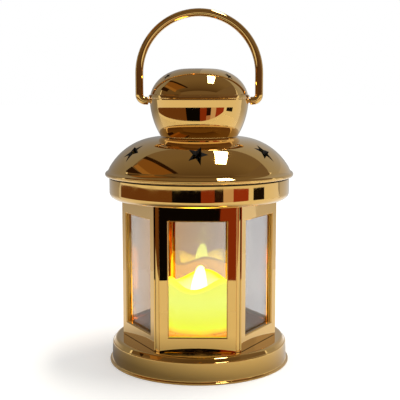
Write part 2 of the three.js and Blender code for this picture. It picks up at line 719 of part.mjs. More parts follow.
function windowFrame() {
  const front = cageApothem;
  const back = frameBack;
  const mitre = (POST_STEM / 2 + SEAM) / Math.cos(Math.PI / SIDES);
  const backHalf = back * Math.tan(Math.PI / SIDES) - mitre;
  const rebateFloor = back + PANE_THICKNESS + SEAM;
  const opening = WINDOW_WIDTH / 2;
  const rebate = PANE_LAP + RUNNING_GAP;
  const grow = (amount, apothem) => rectangleLoop(opening + amount, windowSill - amount,
    windowHead + amount, apothem);
  const body = ringLoft([
    rectangleLoop(backHalf, cageBottom, cageTop, back),
    rectangleLoop(sideHalf - noseSetback, cageBottom, cageTop, front - POST_RECESS),
    rectangleLoop(sideHalf - FRAME_SETBACK, cageBottom, cageTop, front),
    grow(FRAME_BEVEL, front),
    grow(0, front - FRAME_BEVEL),
    grow(0, rebateFloor),
    grow(rebate, rebateFloor),
    grow(rebate, back),
  ]);
  const pegs = [];
  for (const side of [-1, 1]) {
    for (const height of [windowSill - rebate - PANE_PEG_RADIUS, windowHead + rebate + PANE_PEG_RADIUS]) {
      pegs.push(panePeg(side * (opening - PANE_PEG_INSET), height, back));
    }
  }
  return cutAll(joinAll([body, ...pegs]), lipGrooves());
}

function lipGrooves() {
  const width = POST_LIP_LENGTH + RUNNING_GAP + CUT_PAST;
  const middle = sideHalf - lipEnd - RUNNING_GAP + width / 2;
  const depth = POST_LIP + 2 * SEAM;
  const centre = cageApothem - POST_RECESS - POST_LIP / 2;
  return [-1, 1].map((side) => box(width, depth, cageBottom - CUT_PAST, cageTop + CUT_PAST,
    side * middle, -centre));
}

function panePeg(x, height, back) {
  const headOuter = back - SEAM;
  const headInner = headOuter - PANE_PEG_HEAD;
  const peg = revolve([
    [0, headInner],
    [PANE_PEG_HEAD_RADIUS, headInner],
    [PANE_PEG_HEAD_RADIUS, headOuter],
    [PANE_PEG_RADIUS, headOuter],
    [PANE_PEG_RADIUS, back + JOIN_LAP],
    [0, back + JOIN_LAP],
  ], PANE_PEG_SIDES);
  return peg.rotateX(Math.PI / 2).translate(x, 0, height);
}

function pane() {
  return box(WINDOW_WIDTH + 2 * PANE_LAP, PANE_THICKNESS, windowSill - PANE_LAP,
    windowHead + PANE_LAP, 0, -(frameBack + PANE_THICKNESS / 2));
}

// Roof band: a rounded collar whose floor has a hexagonal hole for the cage
function roofBand() {
  const innerRadius = BAND_RADIUS - BAND_WALL;
  const floorTop = bandBottom + BAND_WALL;
  const floorInner = cageApothem - BAND_FLOOR_REACH;
  const centreRadius = BAND_RADIUS - BAND_ROUNDING;
  const centreHeight = bandBottom + BAND_ROUNDING;
  const innerRound = BAND_ROUNDING - BAND_WALL;
  const ring = revolve([
    [floorInner, bandBottom],
    ...arcPoints(centreRadius, centreHeight, BAND_ROUNDING, BAND_ROUNDING, -90, 0, 5),
    [BAND_RADIUS, bandTop - BAND_EDGE],
    [BAND_RADIUS - BAND_EDGE, bandTop],
    [innerRadius, bandTop],
    ...arcPoints(centreRadius, centreHeight, innerRound, innerRound, 0, -90, 2),
    [floorInner, floorTop],
  ], LARGE_SEGMENTS);
  const holeRadius = CAGE_CORNER_RADIUS + RUNNING_GAP / Math.cos(Math.PI / SIDES);
  const hole = cylinder(holeRadius, bandBottom - CUT_PAST, floorTop + CUT_PAST, SIDES);
  return cutAll(ring, [hole.rotateZ(Math.PI / 2)]);
}

// Roof dome: a rolled rim, a domed shell pierced by stars, a skirt inside the band
function roofDome() {
  const skirtOuter = BAND_RADIUS - BAND_WALL - RUNNING_GAP;
  const skirtInner = skirtOuter - BAND_WALL;
  const rollHalf = ROOF_RIM_HEIGHT / 2;
  const outerStart = THREE.MathUtils.radToDeg(
    Math.acos((ROOF_DOME_RADIUS - ROOF_ARC_CENTRE) / ROOF_ARC_RADIUS));
  const innerArc = ROOF_ARC_RADIUS - ROOF_WALL;
  const innerStart = THREE.MathUtils.radToDeg(
    Math.acos((skirtInner - ROOF_ARC_CENTRE) / innerArc));
  const dome = revolve([
    [skirtInner, roofRimBottom - ROOF_SKIRT_DEPTH],
    [skirtOuter, roofRimBottom - ROOF_SKIRT_DEPTH],
    [skirtOuter, roofRimBottom],
    ...arcPoints(ROOF_RIM_RADIUS - ROOF_RIM_ROLL, roofRimBottom + rollHalf,
      ROOF_RIM_ROLL, rollHalf, -90, 90, 5),
    ...arcPoints(ROOF_ARC_CENTRE, roofArcCentreHeight, ROOF_ARC_RADIUS, ROOF_ARC_RADIUS,
      outerStart, 90, 7),
    [NECK_RADIUS, roofCrest],
    [NECK_RADIUS, roofCrest - ROOF_WALL],
    ...arcPoints(ROOF_ARC_CENTRE, roofArcCentreHeight, innerArc, innerArc, 90, innerStart, 3),
  ], LARGE_SEGMENTS);
  const stars = starCutters(STAR_AZIMUTHS, STAR_CIRCLE, STAR_RADIUS, roofRimBottom, roofCrest + CUT_PAST);
  return cutAll(dome, stars);
}

// Cap bowl: its spigot drops into the roof's neck, and its rim has notches for the bail's pins
function capBowl() {
  const outerStart = Math.asin((bowlBottom - capEquator) / CAP_BOWL_HALF_AXIS);
  const outerEnd = Math.asin((capRim - capEquator) / CAP_BOWL_HALF_AXIS);
  const innerDepth = CAP_BOWL_HALF_AXIS - CAP_WALL;
  const floorHeight = bowlBottom + CAP_WALL;
  const innerStart = Math.asin((capRim - capEquator) / innerDepth);
  const innerEnd = Math.asin((floorHeight - capEquator) / innerDepth);
  const degrees = THREE.MathUtils.radToDeg;
  const spigotOuter = NECK_RADIUS - RUNNING_GAP;
  const bowl = revolve([
    [spigotOuter - CAP_WALL, bowlBottom - CAP_SPIGOT_DEPTH],
    [spigotOuter, bowlBottom - CAP_SPIGOT_DEPTH],
    [spigotOuter, bowlBottom],
    ...arcPoints(0, capEquator, CAP_RADIUS, CAP_BOWL_HALF_AXIS,
      degrees(outerStart), degrees(outerEnd), 6),
    ...arcPoints(0, capEquator, CAP_RADIUS - CAP_WALL, innerDepth,
      degrees(innerStart), degrees(innerEnd), 3),
    [spigotOuter - CAP_WALL, floorHeight],
  ], MEDIUM_SEGMENTS);
  return cutAll(bowl, pinNotches());
}

function pinNotches() {
  const radius = BAIL_PIN_RADIUS + RUNNING_GAP;
  return [-1, 1].flatMap((side) => {
    const middle = side * (CAP_RADIUS - CAP_WALL / 2);
    const length = CAP_WALL * 3;
    const seat = new THREE.CylinderGeometry(radius, radius, length, TINY_SEGMENTS).rotateZ(Math.PI / 2);
    const mouth = box(length, 2 * radius, pivotHeight, capRim + CUT_PAST, middle);
    return [seat.translate(middle, 0, pivotHeight), mouth];
  });
}

// Cap lid: a shallow dome with a thin rim, a locating skirt and small stars
function capLid() {
  const rimTop = lidRimBottom + LID_RIM_HEIGHT;
  const skirtOuter = CAP_RADIUS - CAP_WALL - 2 * RUNNING_GAP;
  const skirtInner = skirtOuter - LID_SKIRT_WALL;
  const outerReach = CAP_RADIUS - LID_FLAT_RADIUS;
  const outerRise = lidTop - lidEquator;
  const innerReach = outerReach - CAP_WALL;
  const innerRise = outerRise - CAP_WALL;
  const degrees = THREE.MathUtils.radToDeg;
  const outerStart = degrees(Math.asin((rimTop - lidEquator) / outerRise));
  const innerStart = degrees(Math.acos((skirtInner - LID_FLAT_RADIUS) / innerReach));
  const lid = revolve([
    [0, lidTop - CAP_WALL],
    ...arcPoints(LID_FLAT_RADIUS, lidEquator, innerReach, innerRise, 90, innerStart, 3),
    [skirtInner, lidRimBottom - LID_SKIRT_DEPTH],
    [skirtOuter, lidRimBottom - LID_SKIRT_DEPTH],
    [skirtOuter, lidRimBottom],
    [LID_RIM_RADIUS, lidRimBottom],
    [LID_RIM_RADIUS, rimTop - LID_RIM_EDGE],
    [LID_RIM_RADIUS - LID_RIM_EDGE, rimTop],
    ...arcPoints(LID_FLAT_RADIUS, lidEquator, outerReach, outerRise, outerStart, 90, 7),
    [0, lidTop],
  ], MEDIUM_SEGMENTS);
  const gapWidth = 2 * BAIL_PIN_HEAD_RADIUS + 2 * RUNNING_GAP;
  const skirtGaps = [-1, 1].map((side) => box(LID_SKIRT_WALL * 4, gapWidth,
    lidRimBottom - LID_SKIRT_DEPTH - CUT_PAST, lidRimBottom + RUNNING_GAP, side * skirtInner));
  const stars = starCutters(LID_STAR_AZIMUTHS, LID_STAR_CIRCLE, LID_STAR_RADIUS,
    lidTop - LID_STAR_CUT_DEPTH, lidTop + CUT_PAST);
  return cutAll(lid, [...skirtGaps, ...stars]);
}

// Bail: a round bar in the XZ plane, swept ring by ring, with headed pins in the bowl's notches
function bailPath() {
  const armX = CAP_RADIUS + BAIL_SIDE_GAP;
  const bendX = BAIL_SPAN_RADIUS - BAIL_BEND_RADIUS;
  const bendHeight = pivotHeight + BAIL_BEND_RADIUS;
  const half = [[armX, pivotHeight, 0]];
  for (let i = 0; i <= BAIL_BEND_STEPS; i += 1) {
    const angle = (i * Math.PI) / 2 / BAIL_BEND_STEPS;
    half.push([
      bendX + BAIL_BEND_RADIUS * Math.sin(angle),
      bendHeight - BAIL_BEND_RADIUS * Math.cos(angle),
      angle,
    ]);
  }
  const arc = [];
  for (let i = 0; i <= BAIL_ARC_STEPS; i += 1) {
    const angle = (i * Math.PI) / BAIL_ARC_STEPS;
    arc.push([
      BAIL_SPAN_RADIUS * Math.cos(angle),
      bailArcCentre + BAIL_SPAN_RADIUS * Math.sin(angle),
      angle + Math.PI / 2,
    ]);
  }
  const otherHalf = half.map(([x, z, heading]) => [-x, z, 2 * Math.PI - heading]).reverse();
  return [...half, ...arc, ...otherHalf];
}

function sweptBar(path, radius, sides) {
  const positions = [];
  const indices = [];
  for (const [x, z, heading] of path) {
    for (let k = 0; k < sides; k += 1) {
      const angle = (k * 2 * Math.PI) / sides;
      const across = radius * Math.cos(angle);
      positions.push(
        x - across * Math.sin(heading),
        radius * Math.sin(angle),
        z + across * Math.cos(heading),
      );
    }
  }
  const last = path.length - 1;
  for (let i = 0; i < last; i += 1) {
    for (let k = 0; k < sides; k += 1) {
      const after = (k + 1) % sides;
      const a = i * sides + k;
      const b = i * sides + after;
      const c = (i + 1) * sides + after;
      const d = (i + 1) * sides + k;
      indices.push(a, c, b, a, d, c);
    }
  }
  for (let k = 1; k < sides - 1; k += 1) {
    indices.push(0, k, k + 1);
    indices.push(last * sides, last * sides + k + 1, last * sides + k);
  }
  const geometry = new THREE.BufferGeometry();
  geometry.setAttribute('position', new THREE.Float32BufferAttribute(positions, 3));
  geometry.setIndex(indices);
  geometry.computeVertexNormals();
  return geometry;
}

function alongX(radius, from, to) {
  const bar = new THREE.CylinderGeometry(radius, radius, Math.abs(to - from), TINY_SEGMENTS);
  return bar.rotateZ(Math.PI / 2).translate((from + to) / 2, 0, pivotHeight);
}

function bail() {
  const armX = CAP_RADIUS + BAIL_SIDE_GAP;
  const headOuter = CAP_RADIUS - CAP_WALL - 2 * RUNNING_GAP;
  const headInner = headOuter - BAIL_PIN_HEAD;
  const pieces = [sweptBar(bailPath(), BAIL_BAR_RADIUS, BAR_SIDES)];
  for (const side of [-1, 1]) {
    pieces.push(alongX(BAIL_PIN_RADIUS, side * (headInner + JOIN_LAP), side * (armX + JOIN_LAP)));
    pieces.push(alongX(BAIL_PIN_HEAD_RADIUS, side * headInner, side * headOuter));
  }
  return joinAll(pieces);
}

addPiece(lantern, 'base_shell', baseShell(), goldPlating);
addPiece(lantern, 'bottom_cover', bottomCover(), darkPlastic);
addPiece(lantern, 'battery_door', batteryDoor(), darkPlastic);
addPiece(lantern, 'light_unit', lightUnit(), darkPlastic);
addPiece(lantern, 'coin_cell', coinCell(), nickelSteel);
addPiece(lantern, 'contact_centre', centreContact(), nickelSteel);
addPiece(lantern, 'contact_side', sideContact(), nickelSteel);
addPiece(lantern, 'circuit_board', circuitBoard(), boardLaminate);
addPiece(lantern, 'lamp', lamp(), lampEpoxy);
addPiece(lantern, 'switch_body', switchBody(), darkPlastic);
addPiece(lantern, 'switch_slider', switchSlider(), nickelSteel);
addPiece(lantern, 'candle_shell', candleShell(), waxPlastic);
addPiece(lantern, 'flame_diffuser', flameDiffuser(), flamePlastic);
addPiece(lantern, 'candle_collar', candleCollar(), goldPlating);

COVER_SCREW_AZIMUTHS.forEach((azimuth, i) => {
  const screw = addPiece(azimuthGroup(azimuth), `cover_screw_${i + 1}`, screwGeometry(), nickelSteel);
  screw.position.y = -COVER_SCREW_CIRCLE;
});
addPiece(lantern, 'door_screw', screwGeometry(), nickelSteel).position.y = -DOOR_SCREW_RADIUS;

for (let side = 0; side < SIDES; side += 1) {
  const panel = azimuthGroup((side * 360) / SIDES);
  addPiece(panel, `window_frame_${side + 1}`, windowFrame(), goldPlating);
  addPiece(panel, `pane_${side + 1}`, pane(), clearSheet);
  addPiece(azimuthGroup(cornerAzimuth(side)), `corner_post_${side + 1}`, cornerPost(), goldPlating);
}

addPiece(lantern, 'roof_band', roofBand(), goldPlating);
addPiece(lantern, 'roof_dome', roofDome(), goldPlating);
addPiece(lantern, 'cap_bowl', capBowl(), goldPlating);
addPiece(lantern, 'cap_lid', capLid(), goldPlating);
addPiece(lantern, 'bail_handle', bail(), goldPlating);

export default lantern;
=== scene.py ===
"""Rorate lantern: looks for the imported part.

A small battery lantern in gold-metallised plastic, with a lit electric candle behind clear sheets.
Sizes are in millimetres and turned to metres where they reach Blender.
"""

import json
import math

import bpy
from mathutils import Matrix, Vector

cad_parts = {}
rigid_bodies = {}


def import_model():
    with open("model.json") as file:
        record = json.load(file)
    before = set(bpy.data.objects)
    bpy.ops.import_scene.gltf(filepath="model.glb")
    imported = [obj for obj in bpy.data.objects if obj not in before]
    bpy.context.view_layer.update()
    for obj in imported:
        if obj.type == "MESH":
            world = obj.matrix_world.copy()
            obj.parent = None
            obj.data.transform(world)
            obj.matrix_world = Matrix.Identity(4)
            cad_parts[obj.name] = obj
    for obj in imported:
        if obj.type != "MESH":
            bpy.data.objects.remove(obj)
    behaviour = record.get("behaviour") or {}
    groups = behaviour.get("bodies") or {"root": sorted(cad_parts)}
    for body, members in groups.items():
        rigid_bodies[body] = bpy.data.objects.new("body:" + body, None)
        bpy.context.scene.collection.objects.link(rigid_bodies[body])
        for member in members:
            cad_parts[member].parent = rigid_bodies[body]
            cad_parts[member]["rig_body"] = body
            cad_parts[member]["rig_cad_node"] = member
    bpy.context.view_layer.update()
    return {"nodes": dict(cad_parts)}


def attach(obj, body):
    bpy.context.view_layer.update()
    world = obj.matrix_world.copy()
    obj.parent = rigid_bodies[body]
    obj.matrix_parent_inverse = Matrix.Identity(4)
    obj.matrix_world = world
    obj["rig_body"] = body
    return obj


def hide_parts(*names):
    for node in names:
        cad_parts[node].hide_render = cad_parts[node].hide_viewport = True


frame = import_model()
nodes = frame["nodes"]

# Facets round each kind of piece
ROUND_STEPS = 160
CANDLE_STEPS = 128
COLLAR_STEPS = 112
FLAME_STEPS = 64
SCREW_STEPS = 32
BAR_STEPS = 28
PIN_STEPS = 24
SIDES = 6

# Sizes shared by several pieces, in millimetres
WALL = 1.3
BASE_TOP = 10.2
CAGE_CORNER_RADIUS = 32.7
BAND_BOTTOM = 67.8
CAP_RADIUS = 20.3
CAP_RIM_HEIGHT = 108.9
PIVOT_HEIGHT = 107.9
UNIT_BORE = 13.6  # the light unit goes up through the base into the candle
CANDLE_RADIUS = 14.5
CANDLE_BOTTOM = 10.5
POOL_HEIGHT = 28.6
COLLAR_TOP = 13.1


def mm(length):
    return length * 0.001


def linear(code):
    """An sRGB hex colour as linear RGBA."""
    channels = [int(code[i : i + 2], 16) / 255 for i in (1, 3, 5)]
    return [c / 12.92 if c <= 0.04045 else ((c + 0.055) / 1.055) ** 2.4 for c in channels] + [1.0]


def add_node(tree, kind, values=None, links=None, **settings):
    """Adds one node with its settings, socket values and incoming links."""
    node = tree.nodes.new(kind)
    for name, value in settings.items():
        setattr(node, name, value)
    for socket, value in (values or {}).items():
        node.inputs[socket].default_value = value
    for socket, source in (links or {}).items():
        tree.links.new(source, node.inputs[socket])
    return node


def new_material(name):
    material = bpy.data.materials.new(name)
    material.use_nodes = True
    tree = material.node_tree
    tree.nodes.clear()
    return material, tree


def finish_material(tree, shader):
    add_node(tree, "ShaderNodeOutputMaterial", links={"Surface": shader})


def make_gold(name, gold, deep_gold, clear_roughness, hazy_roughness):
    """Polystyrene, moulded, vacuum-metallised and lacquered gold: a mirror with faint waves."""
    material, tree = new_material(name)
    place = add_node(tree, "ShaderNodeTexCoord").outputs["Object"]
    # The lacquer pools a little, over about 25 mm, so the gold is never quite one tone.
    pooling = add_node(
        tree, "ShaderNodeTexNoise", {"Scale": 40.0, "Detail": 1.0}, {"Vector": place}
    )
    tone = add_node(
        tree,
        "ShaderNodeMix",
        {"A": linear(gold), "B": linear(deep_gold)},
        {"Factor": pooling.outputs["Fac"]},
        data_type="RGBA",
    )
    # Handling haze, in patches of about 6 mm, dulls the mirror slightly.
    haze = add_node(tree, "ShaderNodeTexNoise", {"Scale": 160.0, "Detail": 3.0}, {"Vector": place})
    dulling = add_node(
        tree,
        "ShaderNodeMapRange",
        {"From Min": 0.4, "From Max": 0.8, "To Min": clear_roughness, "To Max": hazy_roughness},
        {"Value": haze.outputs["Fac"]},
    )
    # Flow waves of the moulding, 14 mm apart and about two hundredths of a millimetre high.
    waves = add_node(tree, "ShaderNodeTexNoise", {"Scale": 70.0, "Detail": 0.0}, {"Vector": place})
    bump = add_node(
        tree,
        "ShaderNodeBump",
        {"Strength": 0.35, "Distance": mm(0.12)},
        {"Height": waves.outputs["Fac"]},
    )
    shader = add_node(
        tree,
        "ShaderNodeBsdfPrincipled",
        {"Metallic": 1.0, "Coat Weight": 1.0, "Coat Roughness": 0.03, "Coat IOR": 1.5},
        {
            "Base Color": tone.outputs["Result"],
            "Roughness": dulling.outputs["Result"],
            "Normal": bump.outputs["Normal"],
            "Coat Normal": bump.outputs["Normal"],
        },
    )
    finish_material(tree, shader.outputs["BSDF"])
    return material


def make_plastic(name, colour, worn_colour, roughness, grain_size, grain_depth):
    """Moulded plastic with a spark-eroded grain of a given size in millimetres."""
    material, tree = new_material(name)
    place = add_node(tree, "ShaderNodeTexCoord").outputs["Object"]
    patches = add_node(
        tree, "ShaderNodeTexNoise", {"Scale": 90.0, "Detail": 4.0}, {"Vector": place}
    )
    tone = add_node(
        tree,
        "ShaderNodeMix",
        {"A": linear(colour), "B": linear(worn_colour)},
        {"Factor": patches.outputs["Fac"]},
        data_type="RGBA",
    )
    grain = add_node(
        tree,
        "ShaderNodeTexNoise",
        {"Scale": 1000.0 / grain_size, "Detail": 2.0},
        {"Vector": place},
    )
    bump = add_node(
        tree,
        "ShaderNodeBump",
        {"Strength": 0.6, "Distance": mm(grain_depth)},
        {"Height": grain.outputs["Fac"]},
    )
    shader = add_node(
        tree,
        "ShaderNodeBsdfPrincipled",
        {"Roughness": roughness, "IOR": 1.49},
        {"Base Color": tone.outputs["Result"], "Normal": bump.outputs["Normal"]},
    )
    finish_material(tree, shader.outputs["BSDF"])
    return material


def make_clear_sheet(name):
    """Extruded polystyrene sheet, half a millimetre: clear, faintly wavy, grey and a bit dusty."""
    material, tree = new_material(name)
    place = add_node(tree, "ShaderNodeTexCoord").outputs["Object"]
    # The rollers leave waves of about 15 mm that run up the sheet.
    draw_lines = add_node(
        tree, "ShaderNodeMapping", {"Scale": (60.0, 60.0, 9.0)}, {"Vector": place}
    )
    waves = add_node(
        tree,
        "ShaderNodeTexNoise",
        {"Scale": 1.0, "Detail": 0.0},
        {"Vector": draw_lines.outputs["Vector"]},
    )
    bump = add_node(
        tree,
        "ShaderNodeBump",
        {"Strength": 0.3, "Distance": mm(0.2)},
        {"Height": waves.outputs["Fac"]},
    )
    # The rear sheets get a painted warm glow of the candle's light over their grey, most of all to
    # the left.
    spot = add_node(tree, "ShaderNodeSeparateXYZ", None, {"Vector": place})
    rear = add_node(tree, "ShaderNodeMapRange", {"From Max": mm(20)}, {"Value": spot.outputs["Y"]})
    left = add_node(
        tree,
        "ShaderNodeMapRange",
        {"From Min": mm(24), "From Max": mm(-20)},
        {"Value": spot.outputs["X"]},
    )
    painted_glow_share = add_node(
        tree,
        "ShaderNodeMath",
        None,
        {0: rear.outputs["Result"], 1: left.outputs["Result"]},
        operation="MULTIPLY",
    )
    # The sheet's own grey, mixed towards the painted warm glow of the candle's light
    grey_with_painted_glow = add_node(
        tree,
        "ShaderNodeMix",
        {"A": linear("#E9E9EA"), "B": linear("#EED4B4")},
        {"Factor": painted_glow_share.outputs["Value"]},
        data_type="RGBA",
    )
    clear = add_node(tree, "ShaderNodeBsdfTransparent", None, {"Color": grey_with_painted_glow.outputs["Result"]})
    gloss = add_node(
        tree,
        "ShaderNodeBsdfPrincipled",
        {"Base Color": linear("#FFFFFF"), "Metallic": 1.0, "Roughness": 0.03},
        {"Normal": bump.outputs["Normal"]},
    )
    # Schlick's curve: 5 % mirrored square on, all of it at a grazing look.
    facing = add_node(tree, "ShaderNodeLayerWeight", {"Blend": 0.5}).outputs["Facing"]
    curve = add_node(tree, "ShaderNodeMath", {1: 5.0}, {0: facing}, operation="POWER")
    share = add_node(
        tree, "ShaderNodeMapRange", {"To Min": 0.05}, {"Value": curve.outputs["Value"]}
    )
    mixed = add_node(
        tree,
        "ShaderNodeMixShader",
        None,
        {0: share.outputs["Result"], 1: clear.outputs["BSDF"], 2: gloss.outputs["BSDF"]},
    )
    finish_material(tree, mixed.outputs["Shader"])
    return material


# Zones of a lit piece round the lantern's axis: radius in mm, and 1 for inside, 0.5 crest, 0 wall
GLOW_ZONES = ((9.6, 1.0), (11.2, 0.5), (13.9, 0.5), (14.4, 0.0), (20.0, 0.0))
ZONES_END = 20.0


def set_stops(ramp, stops):
    """Gives a colour ramp its stops, from pairs of position and linear colour."""
    elements = ramp.color_ramp.elements
    while len(elements) < len(stops):
        elements.new(0.5)
    for element, (position, colour) in zip(elements, stops):
        element.position = position
        element.color = colour


def make_glow(name, stops, low, high, body, roughness, strength, inside, crest, rear):
    """Translucent plastic lit from inside: its glow runs from one height to another.

    The inside, the thick crest round it and the rear have glows of their own.
    """
    material, tree = new_material(name)
    place = add_node(tree, "ShaderNodeTexCoord").outputs["Object"]
    spot = add_node(tree, "ShaderNodeSeparateXYZ", None, {"Vector": place})
    mottle = add_node(
        tree, "ShaderNodeTexNoise", {"Scale": 130.0, "Detail": 2.0}, {"Vector": place}
    )
    drift = add_node(
        tree,
        "ShaderNodeMath",
        {1: mm(1.6)},
        {0: mottle.outputs["Fac"], 2: spot.outputs["Z"]},
        operation="MULTIPLY_ADD",
    )
    share = add_node(
        tree,
        "ShaderNodeMapRange",
        {"From Min": mm(low), "From Max": mm(high)},
        {"Value": drift.outputs["Value"]},
    )
    wall = add_node(tree, "ShaderNodeValToRGB", None, {"Fac": share.outputs["Result"]})
    set_stops(wall, [(position, linear(colour)) for position, colour in stops])
    to_rear = add_node(
        tree,
        "ShaderNodeMapRange",
        {"From Min": mm(-2), "From Max": mm(9)},
        {"Value": spot.outputs["Y"]},
    )
    flat = add_node(
        tree, "ShaderNodeVectorMath", {1: (1.0, 1.0, 0.0)}, {0: place}, operation="MULTIPLY"
    )
    reach = add_node(
        tree, "ShaderNodeVectorMath", None, {0: flat.outputs["Vector"]}, operation="LENGTH"
    )
    rings = add_node(
        tree, "ShaderNodeMapRange", {"From Max": mm(ZONES_END)}, {"Value": reach.outputs["Value"]}
    )
    zone = add_node(tree, "ShaderNodeValToRGB", None, {"Fac": rings.outputs["Result"]})
    set_stops(zone, [(radius / ZONES_END, (part, part, part, 1)) for radius, part in GLOW_ZONES])
    to_crest = add_node(
        tree, "ShaderNodeMapRange", {"From Max": 0.5}, {"Value": zone.outputs["Color"]}
    )
    to_inside = add_node(
        tree, "ShaderNodeMapRange", {"From Min": 0.5}, {"Value": zone.outputs["Color"]}
    )
    glow = wall.outputs["Color"]
    for colour, part in ((rear, to_rear), (crest, to_crest), (inside, to_inside)):
        layer = add_node(
            tree,
            "ShaderNodeMix",
            {"B": linear(colour)},
            {"Factor": part.outputs["Result"], "A": glow},
            data_type="RGBA",
        )
        glow = layer.outputs["Result"]
    ripple = add_node(
        tree, "ShaderNodeTexNoise", {"Scale": 300.0, "Detail": 2.0}, {"Vector": place}
    )
    bump = add_node(
        tree,
        "ShaderNodeBump",
        {"Strength": 0.3, "Distance": mm(0.1)},
        {"Height": ripple.outputs["Fac"]},
    )
    shader = add_node(
        tree,
        "ShaderNodeBsdfPrincipled",
        {"Base Color": linear(body), "Roughness": roughness, "Emission Strength": strength},
        {"Emission Color": glow, "Normal": bump.outputs["Normal"]},
    )
    finish_material(tree, shader.outputs["BSDF"])
    return material


def make_steel(name, colour, roughness):
    """Nickel-plated steel, stamped and tumbled: bright, with fine random scuffs."""
    material, tree = new_material(name)
    place = add_node(tree, "ShaderNodeTexCoord").outputs["Object"]
    scuffs = add_node(
        tree, "ShaderNodeTexNoise", {"Scale": 900.0, "Detail": 5.0}, {"Vector": place}
    )
    dulling = add_node(
        tree,
        "ShaderNodeMapRange",
        {"To Min": roughness * 0.7, "To Max": roughness * 1.5},
        {"Value": scuffs.outputs["Fac"]},
    )
    shader = add_node(
        tree,
        "ShaderNodeBsdfPrincipled",
        {"Base Color": linear(colour), "Metallic": 1.0},
        {"Roughness": dulling.outputs["Result"]},
    )
    finish_material(tree, shader.outputs["BSDF"])
    return material


bare = make_plastic(
    "moulded_dark_brown_polystyrene", "#26211B", "#1E1A15",
    roughness=0.55, grain_size=0.6, grain_depth=0.03,
)
gold = make_gold(
    "metallised_gold_polystyrene", "#E6BA63", "#E0B259",
    clear_roughness=0.02, hazy_roughness=0.075,
)
satin = make_gold(
    "metallised_gold_on_satin_polystyrene", "#E6BA63", "#DCA74C",
    clear_roughness=0.38, hazy_roughness=0.5,
)
underside = make_plastic(
    "moulded_black_polypropylene", "#1D1B19", "#2A2724",
    roughness=0.5, grain_size=0.5, grain_depth=0.04,
)
unit_plastic = make_plastic(
    "moulded_ivory_abs", "#D8D2BE", "#CBC4AE",
    roughness=0.4, grain_size=0.6, grain_depth=0.02,
)
clear = make_clear_sheet("clear_polystyrene_sheet")
# The wax look is dark where it stands in its ring and glows yellow above, brightest in the pool.
wax = make_glow(
    "lit_wax_look_polypropylene",
    [
        (0.0, "#1E0E02"), (0.13, "#301602"), (0.155, "#6C4402"), (0.18, "#705E00"),
        (0.25, "#6A7602"), (0.34, "#6A7106"), (0.7, "#687027"), (1.0, "#696E1C"),
    ],
    low=CANDLE_BOTTOM, high=34.0, body="#D9CF58", roughness=0.42, strength=8.0,
    inside="#FFE048", crest="#8E8010", rear="#FFC020",
)
flame_finish = make_glow(
    "lit_flame_silicone",
    [(0.0, "#DAFF60"), (0.5, "#DAFF64"), (1.0, "#DCFF6A")],
    low=POOL_HEIGHT, high=38.0, body="#FFFDF0", roughness=0.35, strength=11.0,
    inside="#DAFF64", crest="#DAFF64", rear="#DAFF64",
)
# The ring's thin gold carries a painted orange glow of the candle's light.
collar_painted_glow = make_glow(
    "thin_gold_with_painted_glow",
    [(0.0, "#5A2802"), (0.5, "#643604"), (1.0, "#7E4C06")],
    low=CANDLE_BOTTOM, high=COLLAR_TOP + 0.5, body="#8A5A1E", roughness=0.3, strength=8.0,
    inside="#643604", crest="#643604", rear="#7E4C06",
)
steel = make_steel("nickel_plated_steel", "#C9C6C0", roughness=0.25)


def deselect():
    if bpy.context.object and bpy.context.object.mode != "OBJECT":
        bpy.ops.object.mode_set(mode="OBJECT")
    bpy.ops.object.select_all(action="DESELECT")


def activate(piece):
    deselect()
    piece.select_set(True)
    bpy.context.view_layer.objects.active = piece


def settle(piece):
    """Puts the piece's place into its mesh and its object at the origin."""
    activate(piece)
    bpy.ops.object.transform_apply(location=True, rotation=True, scale=True)
    return piece


def open_mesh(piece):
    """Opens the piece for editing with all of it selected."""
    activate(piece)
    bpy.ops.object.mode_set(mode="EDIT")
    bpy.ops.mesh.select_all(action="SELECT")


def close_mesh():
    """Turns all faces outward and ends the editing."""
    bpy.ops.mesh.select_all(action="SELECT")
    bpy.ops.mesh.normals_make_consistent(inside=False)
    bpy.ops.object.mode_set(mode="OBJECT")


def turned(name, profile, steps=ROUND_STEPS, capped=False):
    """Turns a piece from (radius, height) points: a ring is extruded and resized point by point.

    The profile runs up the outside and down the inside. A capped one begins and ends on the axis.
    """
    deselect()
    least = 0.02  # a ring can't shrink to nothing
    radius, height = max(profile[0][0], least), profile[0][1]
    bpy.ops.mesh.primitive_circle_add(
        vertices=steps, radius=mm(radius), location=(0, 0, mm(height))
    )
    piece = settle(bpy.context.object)
    piece.name = name
    open_mesh(piece)
    if capped:
        bpy.ops.mesh.edge_face_add()
        bpy.ops.mesh.select_mode(type="EDGE")
        bpy.ops.mesh.select_all(action="SELECT")
    for next_radius, next_height in profile[1:]:
        next_radius = max(next_radius, least)
        bpy.ops.mesh.extrude_edges_move(
            TRANSFORM_OT_translate={"value": (0, 0, mm(next_height - height))}
        )
        ratio = next_radius / radius
        bpy.ops.transform.resize(value=(ratio, ratio, 1), center_override=(0, 0, 0))
        radius, height = next_radius, next_height
    if capped:
        bpy.ops.mesh.edge_face_add()
    else:
        bpy.ops.mesh.select_all(action="DESELECT")
        bpy.ops.mesh.select_non_manifold(
            extend=False, use_wire=False, use_boundary=True, use_multi_face=False,
            use_non_contiguous=False, use_verts=False,
        )
        bpy.ops.mesh.bridge_edge_loops()
    close_mesh()
    return piece


def arc(centre, reach, start, end, steps, rise=None):
    """Profile points on a circle or, with a rise of its own, an ellipse. Angles are in degrees."""
    points = []
    for i in range(steps + 1):
        angle = math.radians(start + (end - start) * i / steps)
        points.append(
            (centre[0] + reach * math.cos(angle), centre[1] + (rise or reach) * math.sin(angle))
        )
    return points


